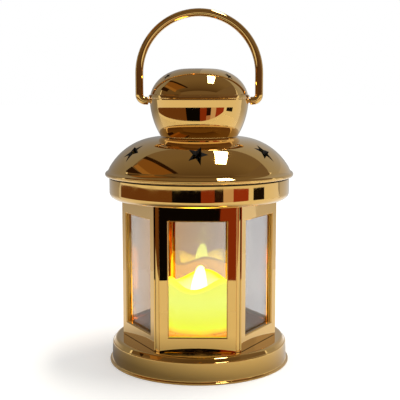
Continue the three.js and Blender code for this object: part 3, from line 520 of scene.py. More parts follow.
def block(size, centre, turn=0.0):
    """A plain box, as a start or a cutter."""
    deselect()
    bpy.ops.mesh.primitive_cube_add(size=1.0, location=[mm(c) for c in centre])
    piece = bpy.context.object
    piece.scale = [mm(s) for s in size]
    settle(piece)
    return spun(piece, turn)


def rod(radius, start, end, steps, centre=(0, 0), axis="Z"):
    """A plain round bar, as a start or a cutter, from start to end along Z or X."""
    deselect()
    middle = (start + end) / 2
    location = (centre[0], centre[1], middle) if axis == "Z" else (middle, centre[0], centre[1])
    turn = (0, 0, 0) if axis == "Z" else (0, math.pi / 2, 0)
    bpy.ops.mesh.primitive_cylinder_add(
        vertices=steps, radius=mm(radius), depth=mm(abs(end - start)),
        location=[mm(c) for c in location], rotation=turn,
    )
    return settle(bpy.context.object)


def pivot_rod(side, radius, start, end):
    """A round bar on the bail's pivot line, on one side of the lantern."""
    return rod(radius, side * start, side * end, PIN_STEPS, centre=(0, PIVOT_HEIGHT), axis="X")


def spun(piece, degrees):
    """Turns the piece's own mesh about the lantern's axis."""
    if degrees:
        activate(piece)
        piece.rotation_euler = (0, 0, math.radians(degrees))
        settle(piece)
    return piece


def apply_modifier(piece, kind, **settings):
    activate(piece)
    modifier = piece.modifiers.new(kind.lower(), kind)
    for name, value in settings.items():
        setattr(modifier, name, value)
    bpy.ops.object.modifier_apply(modifier=modifier.name)
    return piece


def joined(pieces):
    """Joins pieces into the first one."""
    activate(pieces[0])
    for piece in pieces[1:]:
        piece.select_set(True)
    bpy.ops.object.join()
    return pieces[0]


def carve(piece, cutters):
    """Takes the cutters away from the piece."""
    for cutter in cutters:
        apply_modifier(piece, "BOOLEAN", operation="DIFFERENCE", object=cutter, solver="EXACT")
        bpy.data.objects.remove(cutter)


def soften(piece, width, angle=35, segments=2):
    """Rounds the piece's hard edges by a small radius, as a mould does."""
    apply_modifier(
        piece, "BEVEL", width=mm(width), segments=segments, limit_method="ANGLE",
        angle_limit=math.radians(angle), use_clamp_overlap=True,
    )


def smooth(piece, angle=32):
    activate(piece)
    bpy.ops.object.shade_smooth_by_angle(angle=math.radians(angle))
    return apply_modifier(piece, "WEIGHTED_NORMAL", keep_sharp=True, weight=80)


def dress(piece, material, body, stands_for):
    """Gives the piece its finish, tells the frame what it rides on and hides the CAD node that it
    stands for.
    """
    piece.data.materials.clear()
    piece.data.materials.append(material)
    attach(piece, body)
    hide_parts(stands_for)


def leave_bare(piece, inside):
    """The metal only reaches the outside: the faces that the test picks stay bare dark plastic.

    The limits in a test are in millimetres and lie between the faces that it tells apart.
    """
    piece.data.materials.append(bare)
    for face in piece.data.polygons:
        place = face.center * 1000
        if inside(place, face.normal, math.hypot(place.x, place.y)):
            face.material_index = 1


def dull_reveals(window):
    """The sides of a frame's opening are satin from the mould: they catch the candle's light."""
    window.data.materials.append(satin)
    corners = window.data.vertices
    middle = sum((corner.co for corner in corners), Vector()) / len(corners)
    along = Vector((-middle.y, middle.x, 0)).normalized()
    for face in window.data.polygons:
        facing = face.normal.dot(along)
        if abs(facing) > 0.5 and facing * face.center.dot(along) < 0:
            face.material_index = 2


def softened_copy(node, name, width):
    """A copy of a flat-sided CAD node with its triangles merged to faces and its edges rounded."""
    piece = nodes[node].copy()
    piece.data = nodes[node].data.copy()
    piece.parent = None
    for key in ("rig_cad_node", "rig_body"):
        if key in piece:
            del piece[key]
    bpy.context.scene.collection.objects.link(piece)
    piece.name = name
    open_mesh(piece)
    bpy.ops.mesh.remove_doubles(threshold=1e-6)
    bpy.ops.mesh.dissolve_limited(angle_limit=math.radians(1.0))
    close_mesh()
    soften(piece, width)
    return smooth(piece, 30)


def star_cutter(azimuth, circle, reach, waist, bottom, top):
    """A five-pointed punch with one point along the circle that it stands on."""
    corners = 2 * 5
    deselect()
    bpy.ops.mesh.primitive_circle_add(
        vertices=corners, radius=mm(reach), fill_type="NGON", location=(0, mm(-circle), mm(bottom)),
        rotation=(0, 0, -math.pi / 2),
    )
    cutter = settle(bpy.context.object)
    for i in range(1, corners, 2):
        corner = cutter.data.vertices[i].co
        corner.x *= waist
        corner.y = mm(-circle) + (corner.y - mm(-circle)) * waist
    open_mesh(cutter)
    bpy.ops.mesh.extrude_region_move(TRANSFORM_OT_translate={"value": (0, 0, mm(top - bottom))})
    close_mesh()
    return spun(cutter, azimuth)


# Camera: fitted to the photograph's ellipses and edges
LENS = 77.85
CAMERA_DISTANCE = 356.7
CAMERA_HEIGHT = 112.1
CAMERA_AZIMUTH = 1.2
CAMERA_PITCH = 7.22
CAMERA_AIM = 0.056

camera_data = bpy.data.cameras.new("camera")
camera_data.lens = LENS
camera_data.sensor_width = 36.0
camera_data.clip_start = 0.01
camera = bpy.data.objects.new("camera", camera_data)
bpy.context.scene.collection.objects.link(camera)
swing = math.radians(CAMERA_AZIMUTH)
camera.location = (
    mm(CAMERA_DISTANCE * math.sin(swing)),
    mm(-CAMERA_DISTANCE * math.cos(swing)),
    mm(CAMERA_HEIGHT),
)
camera.rotation_euler = (
    math.radians(90 - CAMERA_PITCH), 0, math.radians(CAMERA_AZIMUTH - CAMERA_AIM)
)
bpy.context.scene.camera = camera

# Base: a turned shell with a sharp foot lip, a drafted wall, two small roundings with a steep step
# between them, and a flat top. Each rounding has a centre and a radius.
LIP, LIP_ROUND = (37.12, 0.4), 0.43
STEP, STEP_ROUND = (35.76, 8.0), 0.6
SHOULDER, SHOULDER_ROUND = (33.86, 8.38), 1.82
BARE_TOP = 27.2  # the metal on the top ends at this radius, inside the cage
base = turned(
    "base",
    [
        (35.2, 0.0), (37.2, 0.0),
        *arc(LIP, LIP_ROUND, -80, 66, 11),
        (36.95, 0.88), (36.68, 1.0), (36.58, 1.25), (36.55, 2.2),
        *arc(STEP, STEP_ROUND, 2, 75, 8),
        *arc(SHOULDER, SHOULDER_ROUND, 42, 90, 10),
        (BARE_TOP, BASE_TOP), (UNIT_BORE, BASE_TOP), (UNIT_BORE, BASE_TOP - WALL),
        (33.3, BASE_TOP - WALL), (34.6, 7.6),
    ],
)
smooth(base)
dress(base, gold, "lantern", "base_shell")
leave_bare(
    base,
    lambda place, normal, radius: radius < BARE_TOP + 0.3 or radius < 35.4 and place.z < 9.0,
)

# Roof band: a straight collar with a rounded lower edge and a floor with a six-sided hole
BAND_RADIUS = 37.05
BAND_TOP = 76.7
BAND_BORE = 26.3
BAND_EDGE = (33.15, 70.8)  # centre of the lower edge's rounding
BAND_CHAMFER = 0.25
edge_reach = BAND_RADIUS - BAND_EDGE[0]
edge_rise = BAND_EDGE[1] - BAND_BOTTOM
band = turned(
    "roof_collar",
    [
        (BAND_BORE, BAND_BOTTOM), (BAND_EDGE[0], BAND_BOTTOM),
        *arc(BAND_EDGE, edge_reach, -88, 0, 16, rise=edge_rise),
        (BAND_RADIUS, BAND_TOP - BAND_CHAMFER), (BAND_RADIUS - BAND_CHAMFER, BAND_TOP),
        (BAND_RADIUS - WALL, BAND_TOP),
        *arc(BAND_EDGE, edge_reach - WALL, 0, -90, 6, rise=edge_rise - WALL),
        (BAND_BORE, BAND_BOTTOM + WALL),
    ],
)
hole = rod(CAGE_CORNER_RADIUS + 0.3, BAND_BOTTOM - 1, BAND_BOTTOM + 3, SIDES)
carve(band, [spun(hole, 90)])
smooth(band)
dress(band, gold, "lantern", "roof_band")
leave_bare(band, lambda place, normal, radius: radius < 36.0 and place.z > 69.0)

# Roof: a rolled rim with a cove over it and a dome pierced by six stars; a skirt goes in the band
DOME_CENTRE, DOME_RADIUS = (15.46, 68.55), 24.75
DOME_WALL = 1.4
DOME_FOOT = 37.0
DOME_BORE = 13.4
ROOF_CREST = DOME_CENTRE[1] + DOME_RADIUS
SKIRT_RADIUS, SKIRT_BOTTOM = 35.45, 74.0
RIM_ROLL, RIM_BOTTOM = (37.85, 78.15), 77.0
STAR_AZIMUTHS = (0, 57, 123, 180, 237, 303)
inner_radius = DOME_RADIUS - DOME_WALL
dome_reach = math.degrees(math.acos((DOME_FOOT - DOME_CENTRE[0]) / DOME_RADIUS))
inner_reach = math.degrees(math.acos((SKIRT_RADIUS - WALL - DOME_CENTRE[0]) / inner_radius))
dome = turned(
    "roof_dome_pierced",
    [
        (SKIRT_RADIUS - WALL, SKIRT_BOTTOM), (SKIRT_RADIUS, SKIRT_BOTTOM),
        (SKIRT_RADIUS, RIM_BOTTOM),
        *arc(RIM_ROLL, 0.9, -90, 62, 14, rise=1.0),
        (38.0, 79.2), (37.68, 79.5), (37.4, 79.85), (37.18, 80.25), (37.05, 80.6),
        *arc(DOME_CENTRE, DOME_RADIUS, dome_reach, 90, 30),
        (DOME_BORE, ROOF_CREST), (DOME_BORE, ROOF_CREST - DOME_WALL),
        *arc(DOME_CENTRE, inner_radius, 90, inner_reach, 14),
    ],
)
carve(
    dome,
    [
        star_cutter(
            a, circle=30.6, reach=4.2, waist=0.43, bottom=RIM_BOTTOM, top=ROOF_CREST + 2
        )
        for a in STAR_AZIMUTHS
    ],
)
smooth(dome)
dress(dome, gold, "lantern", "roof_dome")
leave_bare(dome, lambda place, normal, radius: normal.z < 0.3 and radius < 36.9)

# Cap bowl: an elliptic cup on the roof's neck, notched at its rim for the bail's pins
BOWL_CENTRE, BOWL_DEPTH = (0, 110), 26.2
NECK_RADIUS, NECK_BOTTOM, NECK_TOP = 13.1, 89.85, 93.45
NOTCH_RADIUS, NOTCH_START, NOTCH_END, NOTCH_HEIGHT = 1.2, 17.6, 21.5, 3.0
bowl_start, bowl_end = [
    math.degrees(math.asin((height - BOWL_CENTRE[1]) / BOWL_DEPTH))
    for height in (NECK_TOP, CAP_RIM_HEIGHT - 0.15)
]
bowl = turned(
    "cap_cup",
    [
        (NECK_RADIUS - WALL, NECK_BOTTOM), (NECK_RADIUS, NECK_BOTTOM), (NECK_RADIUS, NECK_TOP),
        *arc(BOWL_CENTRE, CAP_RADIUS, bowl_start, bowl_end, 24, rise=BOWL_DEPTH),
        (CAP_RADIUS - 0.1, CAP_RIM_HEIGHT), (CAP_RADIUS - 1.2, CAP_RIM_HEIGHT),
        *arc(
            BOWL_CENTRE, CAP_RADIUS - WALL, bowl_end, bowl_start + 4, 8, rise=BOWL_DEPTH - WALL
        ),
        (NECK_RADIUS - WALL, NECK_TOP + WALL),
    ],
)
notches = []
for side in (-1, 1):
    notches.append(pivot_rod(side, NOTCH_RADIUS, NOTCH_START, NOTCH_END))
    notches.append(
        block(
            (NOTCH_END - NOTCH_START, 2 * NOTCH_RADIUS, NOTCH_HEIGHT),
            (side * (NOTCH_START + NOTCH_END) / 2, 0, PIVOT_HEIGHT + NOTCH_HEIGHT / 2),
        )
    )
carve(bowl, notches)
smooth(bowl)
dress(bowl, gold, "lantern", "cap_bowl")
leave_bare(
    bowl, lambda place, normal, radius: radius < 19.3 and place.z > 94.0 and normal.z > 0.02
)

# Cap lid: a shallow dome with a thin rim and three small stars, and a plug that goes in the bowl
LID_CENTRE, LID_REACH, LID_RISE = (5.0, 108.0), 15.2, 12.9
LID_TOP = LID_CENTRE[1] + LID_RISE
PLUG_RADIUS, PLUG_BOTTOM = 18.4, 106.5
RIM_RADIUS, RIM_UNDERSIDE = CAP_RADIUS + 0.3, 108.95
SMALL_STAR_AZIMUTHS = (53, 180, 303)
lid_start = math.degrees(math.asin((110.45 - LID_CENTRE[1]) / LID_RISE))
lid = turned(
    "cap_top",
    [
        (0, LID_TOP - WALL), (LID_CENTRE[0], LID_TOP - WALL),
        *arc(LID_CENTRE, LID_REACH - WALL, 88, 18, 8, rise=LID_RISE - WALL),
        (PLUG_RADIUS - 1.1, PLUG_BOTTOM), (PLUG_RADIUS, PLUG_BOTTOM),
        (PLUG_RADIUS, RIM_UNDERSIDE), (RIM_RADIUS - 0.15, RIM_UNDERSIDE),
        (RIM_RADIUS, RIM_UNDERSIDE + 0.2), (RIM_RADIUS, 110.0), (RIM_RADIUS - 0.15, 110.25),
        (CAP_RADIUS, 110.3),
        *arc(LID_CENTRE, LID_REACH, lid_start, 90, 26, rise=LID_RISE),
        (0, LID_TOP),
    ],
    capped=True,
)
pin_gaps = [block((4.4, 3.6, 4.0), (side * 17.3, 0, PLUG_BOTTOM + 1)) for side in (-1, 1)]
small_stars = [
    star_cutter(a, circle=14.9, reach=1.9, waist=0.42, bottom=113.0, top=123.0)
    for a in SMALL_STAR_AZIMUTHS
]
carve(lid, pin_gaps + small_stars)
smooth(lid)
dress(lid, gold, "lantern", "cap_lid")
leave_bare(lid, lambda place, normal, radius: normal.z < 0.25 and radius < 18.45)

# Bail: a round bar spun and extruded from pin to pin, with a headed pin at each end
BAR_RADIUS = 1.63
BAIL_START = 20.9  # from the axis to the bar's ends, over the pins
BAIL_SPAN = 24.47  # from the axis to the upright's middle
BAIL_BEND = 2.47
BOW_HEIGHT = 119.0  # centre of the half circle
foot = BAIL_SPAN - BAIL_BEND - BAIL_START
upright = BOW_HEIGHT - PIVOT_HEIGHT - BAIL_BEND
deselect()
bpy.ops.mesh.primitive_circle_add(
    vertices=BAR_STEPS, radius=mm(BAR_RADIUS), fill_type="NGON",
    location=(mm(BAIL_START), 0, mm(PIVOT_HEIGHT)), rotation=(0, math.pi / 2, 0),
)
bail = settle(bpy.context.object)
bail.name = "bail"


def bar_length(move):
    bpy.ops.mesh.extrude_region_move(TRANSFORM_OT_translate={"value": [mm(m) for m in move]})


def bar_bend(degrees, centre, steps):
    bpy.ops.mesh.spin(
        steps=steps, angle=math.radians(degrees), center=[mm(c) for c in centre], axis=(0, 1, 0)
    )


open_mesh(bail)
bar_length((foot, 0, 0))
bar_bend(90, (BAIL_SPAN - BAIL_BEND, 0, PIVOT_HEIGHT + BAIL_BEND), 8)
bar_length((0, 0, upright))
bar_bend(180, (0, 0, BOW_HEIGHT), 48)
bar_length((0, 0, -upright))
bar_bend(90, (BAIL_BEND - BAIL_SPAN, 0, PIVOT_HEIGHT + BAIL_BEND), 8)
bar_length((foot, 0, 0))
bpy.ops.mesh.select_all(action="SELECT")
bpy.ops.mesh.remove_doubles(threshold=1e-6)
close_mesh()
soften(bail, 0.3, angle=60, segments=3)
for side in (-1, 1):
    pin = pivot_rod(side, radius=0.9, start=17.8, end=21.3)
    head = pivot_rod(side, radius=1.5, start=17.5, end=18.35)
    soften(head, 0.2)
    bail = joined([bail, pin, head])
smooth(bail, 40)
dress(bail, gold, "bail", "bail_handle")

# Cage: posts with a rounded nose, and frames with a bevelled opening
EDGE_ROUND = 0.08
SOCKET_TOP, TENON_START = 10.35, 75.95  # what is beyond these heights is hidden in base and roof


def cage_end(place, normal, radius):
    """Picks what the base and the roof hide of a post or frame."""
    return place.z < SOCKET_TOP or place.z > TENON_START


for side in range(1, SIDES + 1):
    post = softened_copy(f"corner_post_{side}", f"post_{side}", EDGE_ROUND)
    dress(post, gold, "lantern", f"corner_post_{side}")
    leave_bare(post, cage_end)
    window = softened_copy(f"window_frame_{side}", f"frame_{side}", EDGE_ROUND)
    dress(window, gold, "lantern", f"window_frame_{side}")
    leave_bare(window, cage_end)
    dull_reveals(window)
    nodes[f"pane_{side}"].material_slots[0].material = clear

# Candle: a hollow shell whose melted rim rises in three lobes and dips at the front, round a pool
CREST = (12.4, 31.1)
RIM_START, RIM_LENGTH = 27.7, 3.4  # the rim's rise and fall grows over this length
LOBES, LOBE_HEIGHT, LOBE_TURN = 3, 1.85, 237
LAMP_BORE = 4.0


def rim_shift(angle):
    return 0.2 + LOBE_HEIGHT * math.cos(LOBES * angle - math.radians(LOBE_TURN))


candle = turned(
    "candle",
    [
        (UNIT_BORE, CANDLE_BOTTOM), (CANDLE_RADIUS - 0.15, CANDLE_BOTTOM),
        *[(CANDLE_RADIUS, height) for height in (10.7, 16.0, 21.0, 26.0, 29.0)],
        (CANDLE_RADIUS - 0.02, CREST[1]),
        *arc(CREST, 2.08, 12, 168, 10, rise=2.1),
        (10.25, 31.0), (10.0, 30.0), (9.6, 29.1), (8.9, 28.7), (7.8, POOL_HEIGHT),
        (LAMP_BORE, POOL_HEIGHT), (LAMP_BORE, POOL_HEIGHT - 1), (UNIT_BORE, POOL_HEIGHT - 1),
    ],
    steps=CANDLE_STEPS,
)
for vertex in candle.data.vertices:  # the pool stays flat, the rim round it rises and falls
    x, y, z = vertex.co
    share = min(1.0, max(0.0, (z - mm(RIM_START)) / mm(RIM_LENGTH)))
    if math.hypot(x, y) > mm(8.5) and z > mm(POOL_HEIGHT + 0.01):
        vertex.co.z += mm(rim_shift(math.atan2(y, x))) * share
smooth(candle, 50)
dress(candle, wax, "lantern", "candle_shell")

# Flame: a hollow drop that leans a little, over the lamp
FLAME_RISE = 10.6
FLAME_LEAN = 0.7
flame_profile = [
    (0, 37.0), (1.2, 36.0), (2.3, 33.0), (2.75, 29.0), (2.75, 26.3), (4.8, 26.3), (4.8, 27.3),
    (3.7, 27.3), (3.7, POOL_HEIGHT),
]
for share, radius in (
    (0.15, 3.5), (0.3, 3.25), (0.45, 2.95), (0.6, 2.6), (0.72, 2.25), (0.82, 1.9), (0.9, 1.5),
    (0.95, 1.12), (0.985, 0.65), (1.0, 0),
):
    flame_profile.append((radius, POOL_HEIGHT + share * FLAME_RISE))
flame = turned("flame", flame_profile, steps=FLAME_STEPS, capped=True)
for vertex in flame.data.vertices:
    rise = max(0.0, vertex.co.z - mm(POOL_HEIGHT)) / mm(FLAME_RISE)
    vertex.co.x += mm(FLAME_LEAN) * rise**1.5
smooth(flame, 60)
dress(flame, flame_finish, "lantern", "flame_diffuser")

# Collar: a notched ring round the candle's foot
COLLAR_INSIDE, COLLAR_OUTSIDE = CANDLE_RADIUS + 0.3, 16.4
COLLAR_BOTTOM = 10.35
NOTCHES = 28
collar = turned(
    "collar",
    [
        (COLLAR_INSIDE, COLLAR_BOTTOM), (COLLAR_OUTSIDE, COLLAR_BOTTOM), (COLLAR_OUTSIDE, 12.7),
        (16.3, 12.95), (16.05, COLLAR_TOP), (COLLAR_INSIDE, COLLAR_TOP),
    ],
    steps=COLLAR_STEPS,
)
carve(
    collar,
    [block((0.7, 3.2, 2.1), (0, -15.6, 13.05), i * 360 / NOTCHES) for i in range(NOTCHES)],
)
smooth(collar)
# The collar's finish is thin gold with a painted orange glow of the candle's light
dress(collar, collar_painted_glow, "lantern", "candle_collar")

# Underside: countersunk screws with a cross recess, each left at its own turn by the driver
COVER_CIRCLE, DOOR_CIRCLE = 27, 15.2
SCREW_PROFILE = [
    (0, 1.0), (1.8, 1.0), (1.93, 1.04), (1.9, 1.12), (0.85, 2.15), (0.85, 5.5), (0, 6.35),
]
for name, azimuth, circle in (
    ("cover_screw_1", 0, COVER_CIRCLE), ("cover_screw_2", 120, COVER_CIRCLE),
    ("cover_screw_3", 240, COVER_CIRCLE), ("door_screw", 0, DOOR_CIRCLE),
):
    screw = turned(name.replace("screw", "fixing"), SCREW_PROFILE, steps=SCREW_STEPS, capped=True)
    driver_turn = 20 + azimuth / 3
    carve(
        screw,
        [block((0.55, 2.3, 0.9), (0, 0, 1.2), driver_turn + quarter) for quarter in (0, 90)],
    )
    way = math.radians(azimuth)
    screw.location = (mm(circle * math.sin(way)), mm(-circle * math.cos(way)), 0)
    settle(screw)
    smooth(screw)
    dress(screw, steel, "lantern", name)

for name, finish in (
    ("bottom_cover", underside), ("battery_door", underside), ("light_unit", unit_plastic),
    ("switch_body", underside), ("switch_slider", unit_plastic), ("coin_cell", steel),
    ("contact_centre", steel), ("contact_side", steel), ("lamp", flame_finish),
    ("circuit_board", unit_plastic),
):
    nodes[name].material_slots[0].material = finish


def card_material(name, colour, high_colour, fade, axis):
    """A card that glows evenly, or fades to a second colour over a length in millimetres."""
    material, tree = new_material(name)
    place = add_node(tree, "ShaderNodeTexCoord").outputs["Object"]
    way = add_node(tree, "ShaderNodeSeparateXYZ", None, {"Vector": place}).outputs[axis]
    share = add_node(tree, "ShaderNodeMapRange", {"From Max": mm(fade)}, {"Value": way})
    tone = add_node(
        tree, "ShaderNodeMix", {"A": linear(colour), "B": linear(high_colour)},
        {"Factor": share.outputs["Result"]}, data_type="RGBA",
    )
    shader = add_node(tree, "ShaderNodeEmission", None, {"Color": tone.outputs["Result"]})
    finish_material(tree, shader.outputs["Emission"])
    return material


def reflection_only(card):
    """The card is seen in the metal and nowhere else, and shades nothing."""
    card.visible_camera = False
    card.visible_diffuse = False
    card.visible_shadow = False
    card.visible_transmission = False


def sheet_card(name, colour, corners, faces, high_colour=None, fade=500, axis="Z"):
    """A studio card through the given corners."""
    mesh = bpy.data.meshes.new(name)
    mesh.from_pydata([[mm(c) for c in corner] for corner in corners], [], faces)
    card = bpy.data.objects.new(name, mesh)
    bpy.context.scene.collection.objects.link(card)
    mesh.materials.append(card_material(name, colour, high_colour or colour, fade, axis))
    reflection_only(card)


# Plain studio cards: a white tray round the front, coloured cards in its low opening, a dark room
TRAY_LEFT, TRAY_RIGHT = -111, 116  # azimuths of the tray's ends
LIP_REACH, LIP_EDGE = 131, 16.5  # the low lip in front of the lantern
TRAY_REACH, TRAY_TOP = 178, 104  # the wall behind it
OPENING_TOP, OPENING_FALL = 58.7, 0.114  # height, and its fall where the wall is farther off
LIP_BOW, WALL_BOW = 0.63, 0.62  # 0 is a round tray, 1 a straight one
LIP_STRAIGHT = 1.05  # the lip runs straight up to this angle on the right, in radians


def tray_place(azimuth, level):
    """A place on the tray.

    Level 0 is the lip's foot, 1 its edge, 2 the opening's upper edge and 3 the tray's rim.
    """
    angle = math.radians(azimuth)
    lip = LIP_REACH / math.cos(min(angle, LIP_STRAIGHT) if angle > 0 else LIP_BOW * angle)
    wall = TRAY_REACH / math.cos(WALL_BOW * angle)
    head = OPENING_TOP - OPENING_FALL * (wall - TRAY_REACH)
    stops = [(lip, 0.0), (lip, LIP_EDGE), (wall, head), (wall, TRAY_TOP)]
    step = min(int(level), 2)
    share = level - step
    reach = stops[step][0] * (1 - share) + stops[step + 1][0] * share
    height = stops[step][1] * (1 - share) + stops[step + 1][1] * share
    return reach * math.sin(angle), -reach * math.cos(angle), height


def tray_card(name, colour, start, end, bottom=1.0, top=2.0):
    """A card in facets of about 4 degrees that follows the tray between two azimuths."""
    count = max(1, round((end - start) / 4))
    stops = [start + (end - start) * i / count for i in range(count + 1)]
    corners = [tray_place(a, bottom) for a in stops] + [tray_place(a, top) for a in stops]
    faces = [(i, i + 1, count + 2 + i, count + 1 + i) for i in range(count)]
    sheet_card(name, colour, corners, faces)


tray_card("card_brown", "#70492A", TRAY_LEFT, -29)
for i, azimuth in enumerate((-98, -84, -72, -61, -51, -43, -36)):
    tray_card(f"card_joint_{i}", "#3A2415", azimuth, azimuth + 0.8, 1.04, 1.96)
tray_card("card_black", "#0C0908", -29, 3.2)
tray_card("card_red", "#8C3A20", 3.2, 18)
tray_card("card_dark", "#2A1410", 18, 28, 1.35)
tray_card("card_rose_low", "#B98A7C", 18, 28, 1.0, 1.35)
tray_card("card_rose", "#D6BDB4", 28, 40)
tray_card("card_rust", "#A04028", 40, 60)
tray_card("card_pale", "#F4F2EE", 60, 67)
tray_card("card_patch", "#1C1612", 67, 85, 1.3)
tray_card("card_pale_low", "#F4F2EE", 67, 85, 1.0, 1.3)
tray_card("card_pale_side", "#F4F2EE", 85, TRAY_RIGHT)
tray_card("tray", "#F4F2EE", TRAY_LEFT, TRAY_RIGHT, 2.0, 3.0)
tray_card("lip", "#F4F2EE", TRAY_LEFT, TRAY_RIGHT, 0.0, 1.0)


def room_card(name, low_colour, high_colour, corners, fade=500, axis="Z"):
    """A wall or ceiling of the room whose colour changes along one axis."""
    faces = [tuple(range(len(corners)))]
    sheet_card(name, low_colour, corners, faces, high_colour, fade, axis)


ROOM = 900  # from the lantern to the walls, and up to the ceiling
REAR = ROOM / 2
ON_WALL = 2 - ROOM  # cards on the left wall and ceiling lie a little in front of them
ON_CEILING = ROOM - 2
UNDER_BEAM = ROOM - 4
room_card("room_front", "#4E3024", "#7A6B5F", [
    (-ROOM, -ROOM, 0), (ROOM, -ROOM, 0), (ROOM, -ROOM, ROOM), (-ROOM, -ROOM, ROOM)])
room_card("room_left", "#4E3024", "#6E5C48", [
    (-ROOM, -ROOM, 0), (-ROOM, 0, 0), (-ROOM, REAR, ROOM), (-ROOM, -ROOM, ROOM)])
room_card("room_right", "#6A4A38", "#7A6B5F", [
    (ROOM, -ROOM, 0), (ROOM, 0, 0), (ROOM, REAR, ROOM), (ROOM, -ROOM, ROOM)])
room_card("room_ceiling", "#7F705E", "#544230", [
    (-ROOM, -ROOM, ROOM), (ROOM, -ROOM, ROOM), (ROOM, REAR, ROOM), (-ROOM, REAR, ROOM)],
    fade=-ROOM, axis="Y")
room_card("card_tan_wall", "#A07848", "#A07848", [
    (ON_WALL, -480, 700), (ON_WALL, 0, 760), (ON_WALL, 360, 780), (ON_WALL, 360, ROOM),
    (ON_WALL, -480, ROOM)])
room_card("card_tan", "#865E32", "#865E32", [
    (-ROOM, -480, ON_CEILING), (-420, -480, ON_CEILING), (-530, -160, ON_CEILING),
    (-600, 140, ON_CEILING), (-680, 400, ON_CEILING), (-ROOM, 400, ON_CEILING)])
room_card("card_beam", "#2E1C0C", "#2E1C0C", [
    (-420, -520, UNDER_BEAM), (-340, -520, UNDER_BEAM), (-440, -170, UNDER_BEAM),
    (-520, 140, UNDER_BEAM), (-600, 440, UNDER_BEAM), (-690, 440, UNDER_BEAM),
    (-600, 140, UNDER_BEAM), (-530, -160, UNDER_BEAM)])
room_card("card_corner", "#2E1C0C", "#2E1C0C", [
    (ON_WALL + 2, -60, 560), (ON_WALL + 2, 400, 560), (ON_WALL + 2, 400, 740),
    (ON_WALL + 2, -60, 740)])
room_card("screen_left", "#E0DCD6", "#918E8A", [
    (-190, 72, 0), (-120, 250, 0), (-120, 270, 180), (-190, 72, 180)], fade=70)
room_card("screen_left_rear", "#E0DCD6", "#918E8A", [
    (-120, 250, 0), (0, 300, 0), (0, 330, 180), (-120, 270, 180)], fade=70)
room_card("screen_right", "#ECE8E2", "#BAB6B0", [
    (190, 90, 0), (120, 250, 0), (120, 270, 150), (190, 90, 150)], fade=70)
room_card("backdrop_left", "#95928E", "#95928E", [
    (-1500, 300, 0), (0, 300, 0), (0, 600, 1200), (-1500, 600, 1200)])
room_card("backdrop_right", "#AEABA6", "#AEABA6", [
    (0, 300, 0), (1500, 300, 0), (1500, 600, 1200), (0, 600, 1200)])

# The lantern's own shade on the floor as the metal sees it, a little to the front and left of it
SHADE_RADIUS = 90
SHADE_OFFSET = -12
SHADE_DEPTH = 0.7
deselect()
bpy.ops.mesh.primitive_circle_add(
    vertices=64, radius=mm(SHADE_RADIUS), fill_type="NGON",
    location=(mm(SHADE_OFFSET), mm(SHADE_OFFSET), mm(0.3)),
)
shade = bpy.context.object
shade.name = "floor_shade"
shade_material, tree = new_material("floor_shade")
place = add_node(tree, "ShaderNodeTexCoord").outputs["Object"]
from_middle = add_node(tree, "ShaderNodeVectorMath", None, {0: place}, operation="LENGTH")
depth = add_node(
    tree,
    "ShaderNodeMapRange",
    {"From Min": mm(30), "From Max": mm(80), "To Min": SHADE_DEPTH, "To Max": 0.0},
    {"Value": from_middle.outputs["Value"]},
)
gone = add_node(tree, "ShaderNodeBsdfTransparent")
dark = add_node(tree, "ShaderNodeEmission", {"Color": linear("#2A2018")})
shaded = add_node(
    tree,
    "ShaderNodeMixShader",
    None,
    {0: depth.outputs["Result"], 1: gone.outputs["BSDF"], 2: dark.outputs["Emission"]},
)
finish_material(tree, shaded.outputs["Shader"])
shade.data.materials.append(shade_material)
reflection_only(shade)

# Softbox overhead, seen in the metal as a bright window
softbox_data = bpy.data.lights.new("softbox", "AREA")
softbox_data.shape = "RECTANGLE"
softbox_data.size = 0.11
softbox_data.size_y = 0.36
softbox_data.energy = 2.4
softbox_data.color = (1.0, 0.97, 0.9)
softbox = bpy.data.objects.new("softbox", softbox_data)
bpy.context.scene.collection.objects.link(softbox)
softbox.location = (0.178, 0.045, 0.70)
softbox.rotation_euler = (0, 0, math.radians(10.5))

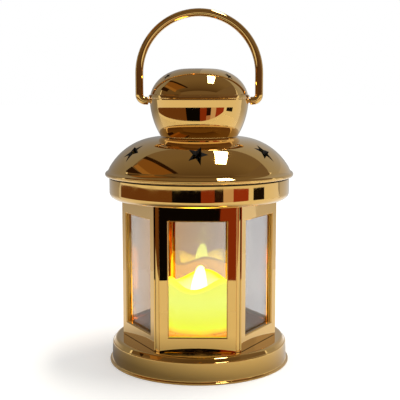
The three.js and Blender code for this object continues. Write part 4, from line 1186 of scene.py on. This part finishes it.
# Floor: pale paper. It is lifted to white for the camera and keeps the lantern's shadow; the metal
# sees it without the lift.
deselect()
bpy.ops.mesh.primitive_plane_add(size=12.0)
floor = bpy.context.object
floor.name = "floor"
floor_material, tree = new_material("pale_paper")
paths = add_node(tree, "ShaderNodeLightPath")
in_view = add_node(
    tree,
    "ShaderNodeMath",
    None,
    {0: paths.outputs["Is Camera Ray"], 1: paths.outputs["Is Transmission Ray"]},
    operation="MAXIMUM",
)
paper = add_node(tree, "ShaderNodeBsdfDiffuse", {"Color": linear("#ECEBE9")})
place = add_node(tree, "ShaderNodeTexCoord").outputs["Object"]
from_axis = add_node(tree, "ShaderNodeVectorMath", None, {0: place}, operation="LENGTH")
lift = add_node(
    tree,
    "ShaderNodeMapRange",
    {"From Min": mm(60), "From Max": mm(600), "To Min": 0.27, "To Max": 0.44},
    {"Value": from_axis.outputs["Value"]},
)
lift_in_view = add_node(
    tree,
    "ShaderNodeMath",
    None,
    {0: lift.outputs["Result"], 1: in_view.outputs["Value"]},
    operation="MULTIPLY",
)
white = add_node(
    tree,
    "ShaderNodeEmission",
    {"Color": linear("#FFFFFF")},
    {"Strength": lift_in_view.outputs["Value"]},
)
lifted = add_node(
    tree, "ShaderNodeAddShader", None, {0: paper.outputs["BSDF"], 1: white.outputs["Emission"]}
)
finish_material(tree, lifted.outputs["Shader"])
floor.data.materials.append(floor_material)

# Surroundings: white to the camera, the metal and the sheets, softer as light on the lantern
world = bpy.data.worlds.new("studio")
world.use_nodes = True
bpy.context.scene.world = world
tree = world.node_tree
tree.nodes.clear()
paths = add_node(tree, "ShaderNodeLightPath")
seen = paths.outputs["Is Camera Ray"]
for ray in ("Is Glossy Ray", "Is Transmission Ray"):
    either = add_node(
        tree, "ShaderNodeMath", None, {0: seen, 1: paths.outputs[ray]}, operation="MAXIMUM"
    )
    seen = either.outputs["Value"]
strength = add_node(
    tree, "ShaderNodeMapRange", {"To Min": 0.7, "To Max": 1.0}, {"Value": seen}
)
light = add_node(
    tree,
    "ShaderNodeBackground",
    {"Color": linear("#FFFFFF")},
    {"Strength": strength.outputs["Result"]},
)
add_node(tree, "ShaderNodeOutputWorld", links={"Surface": light.outputs["Background"]})

bpy.context.scene.view_settings.view_transform = "Standard"
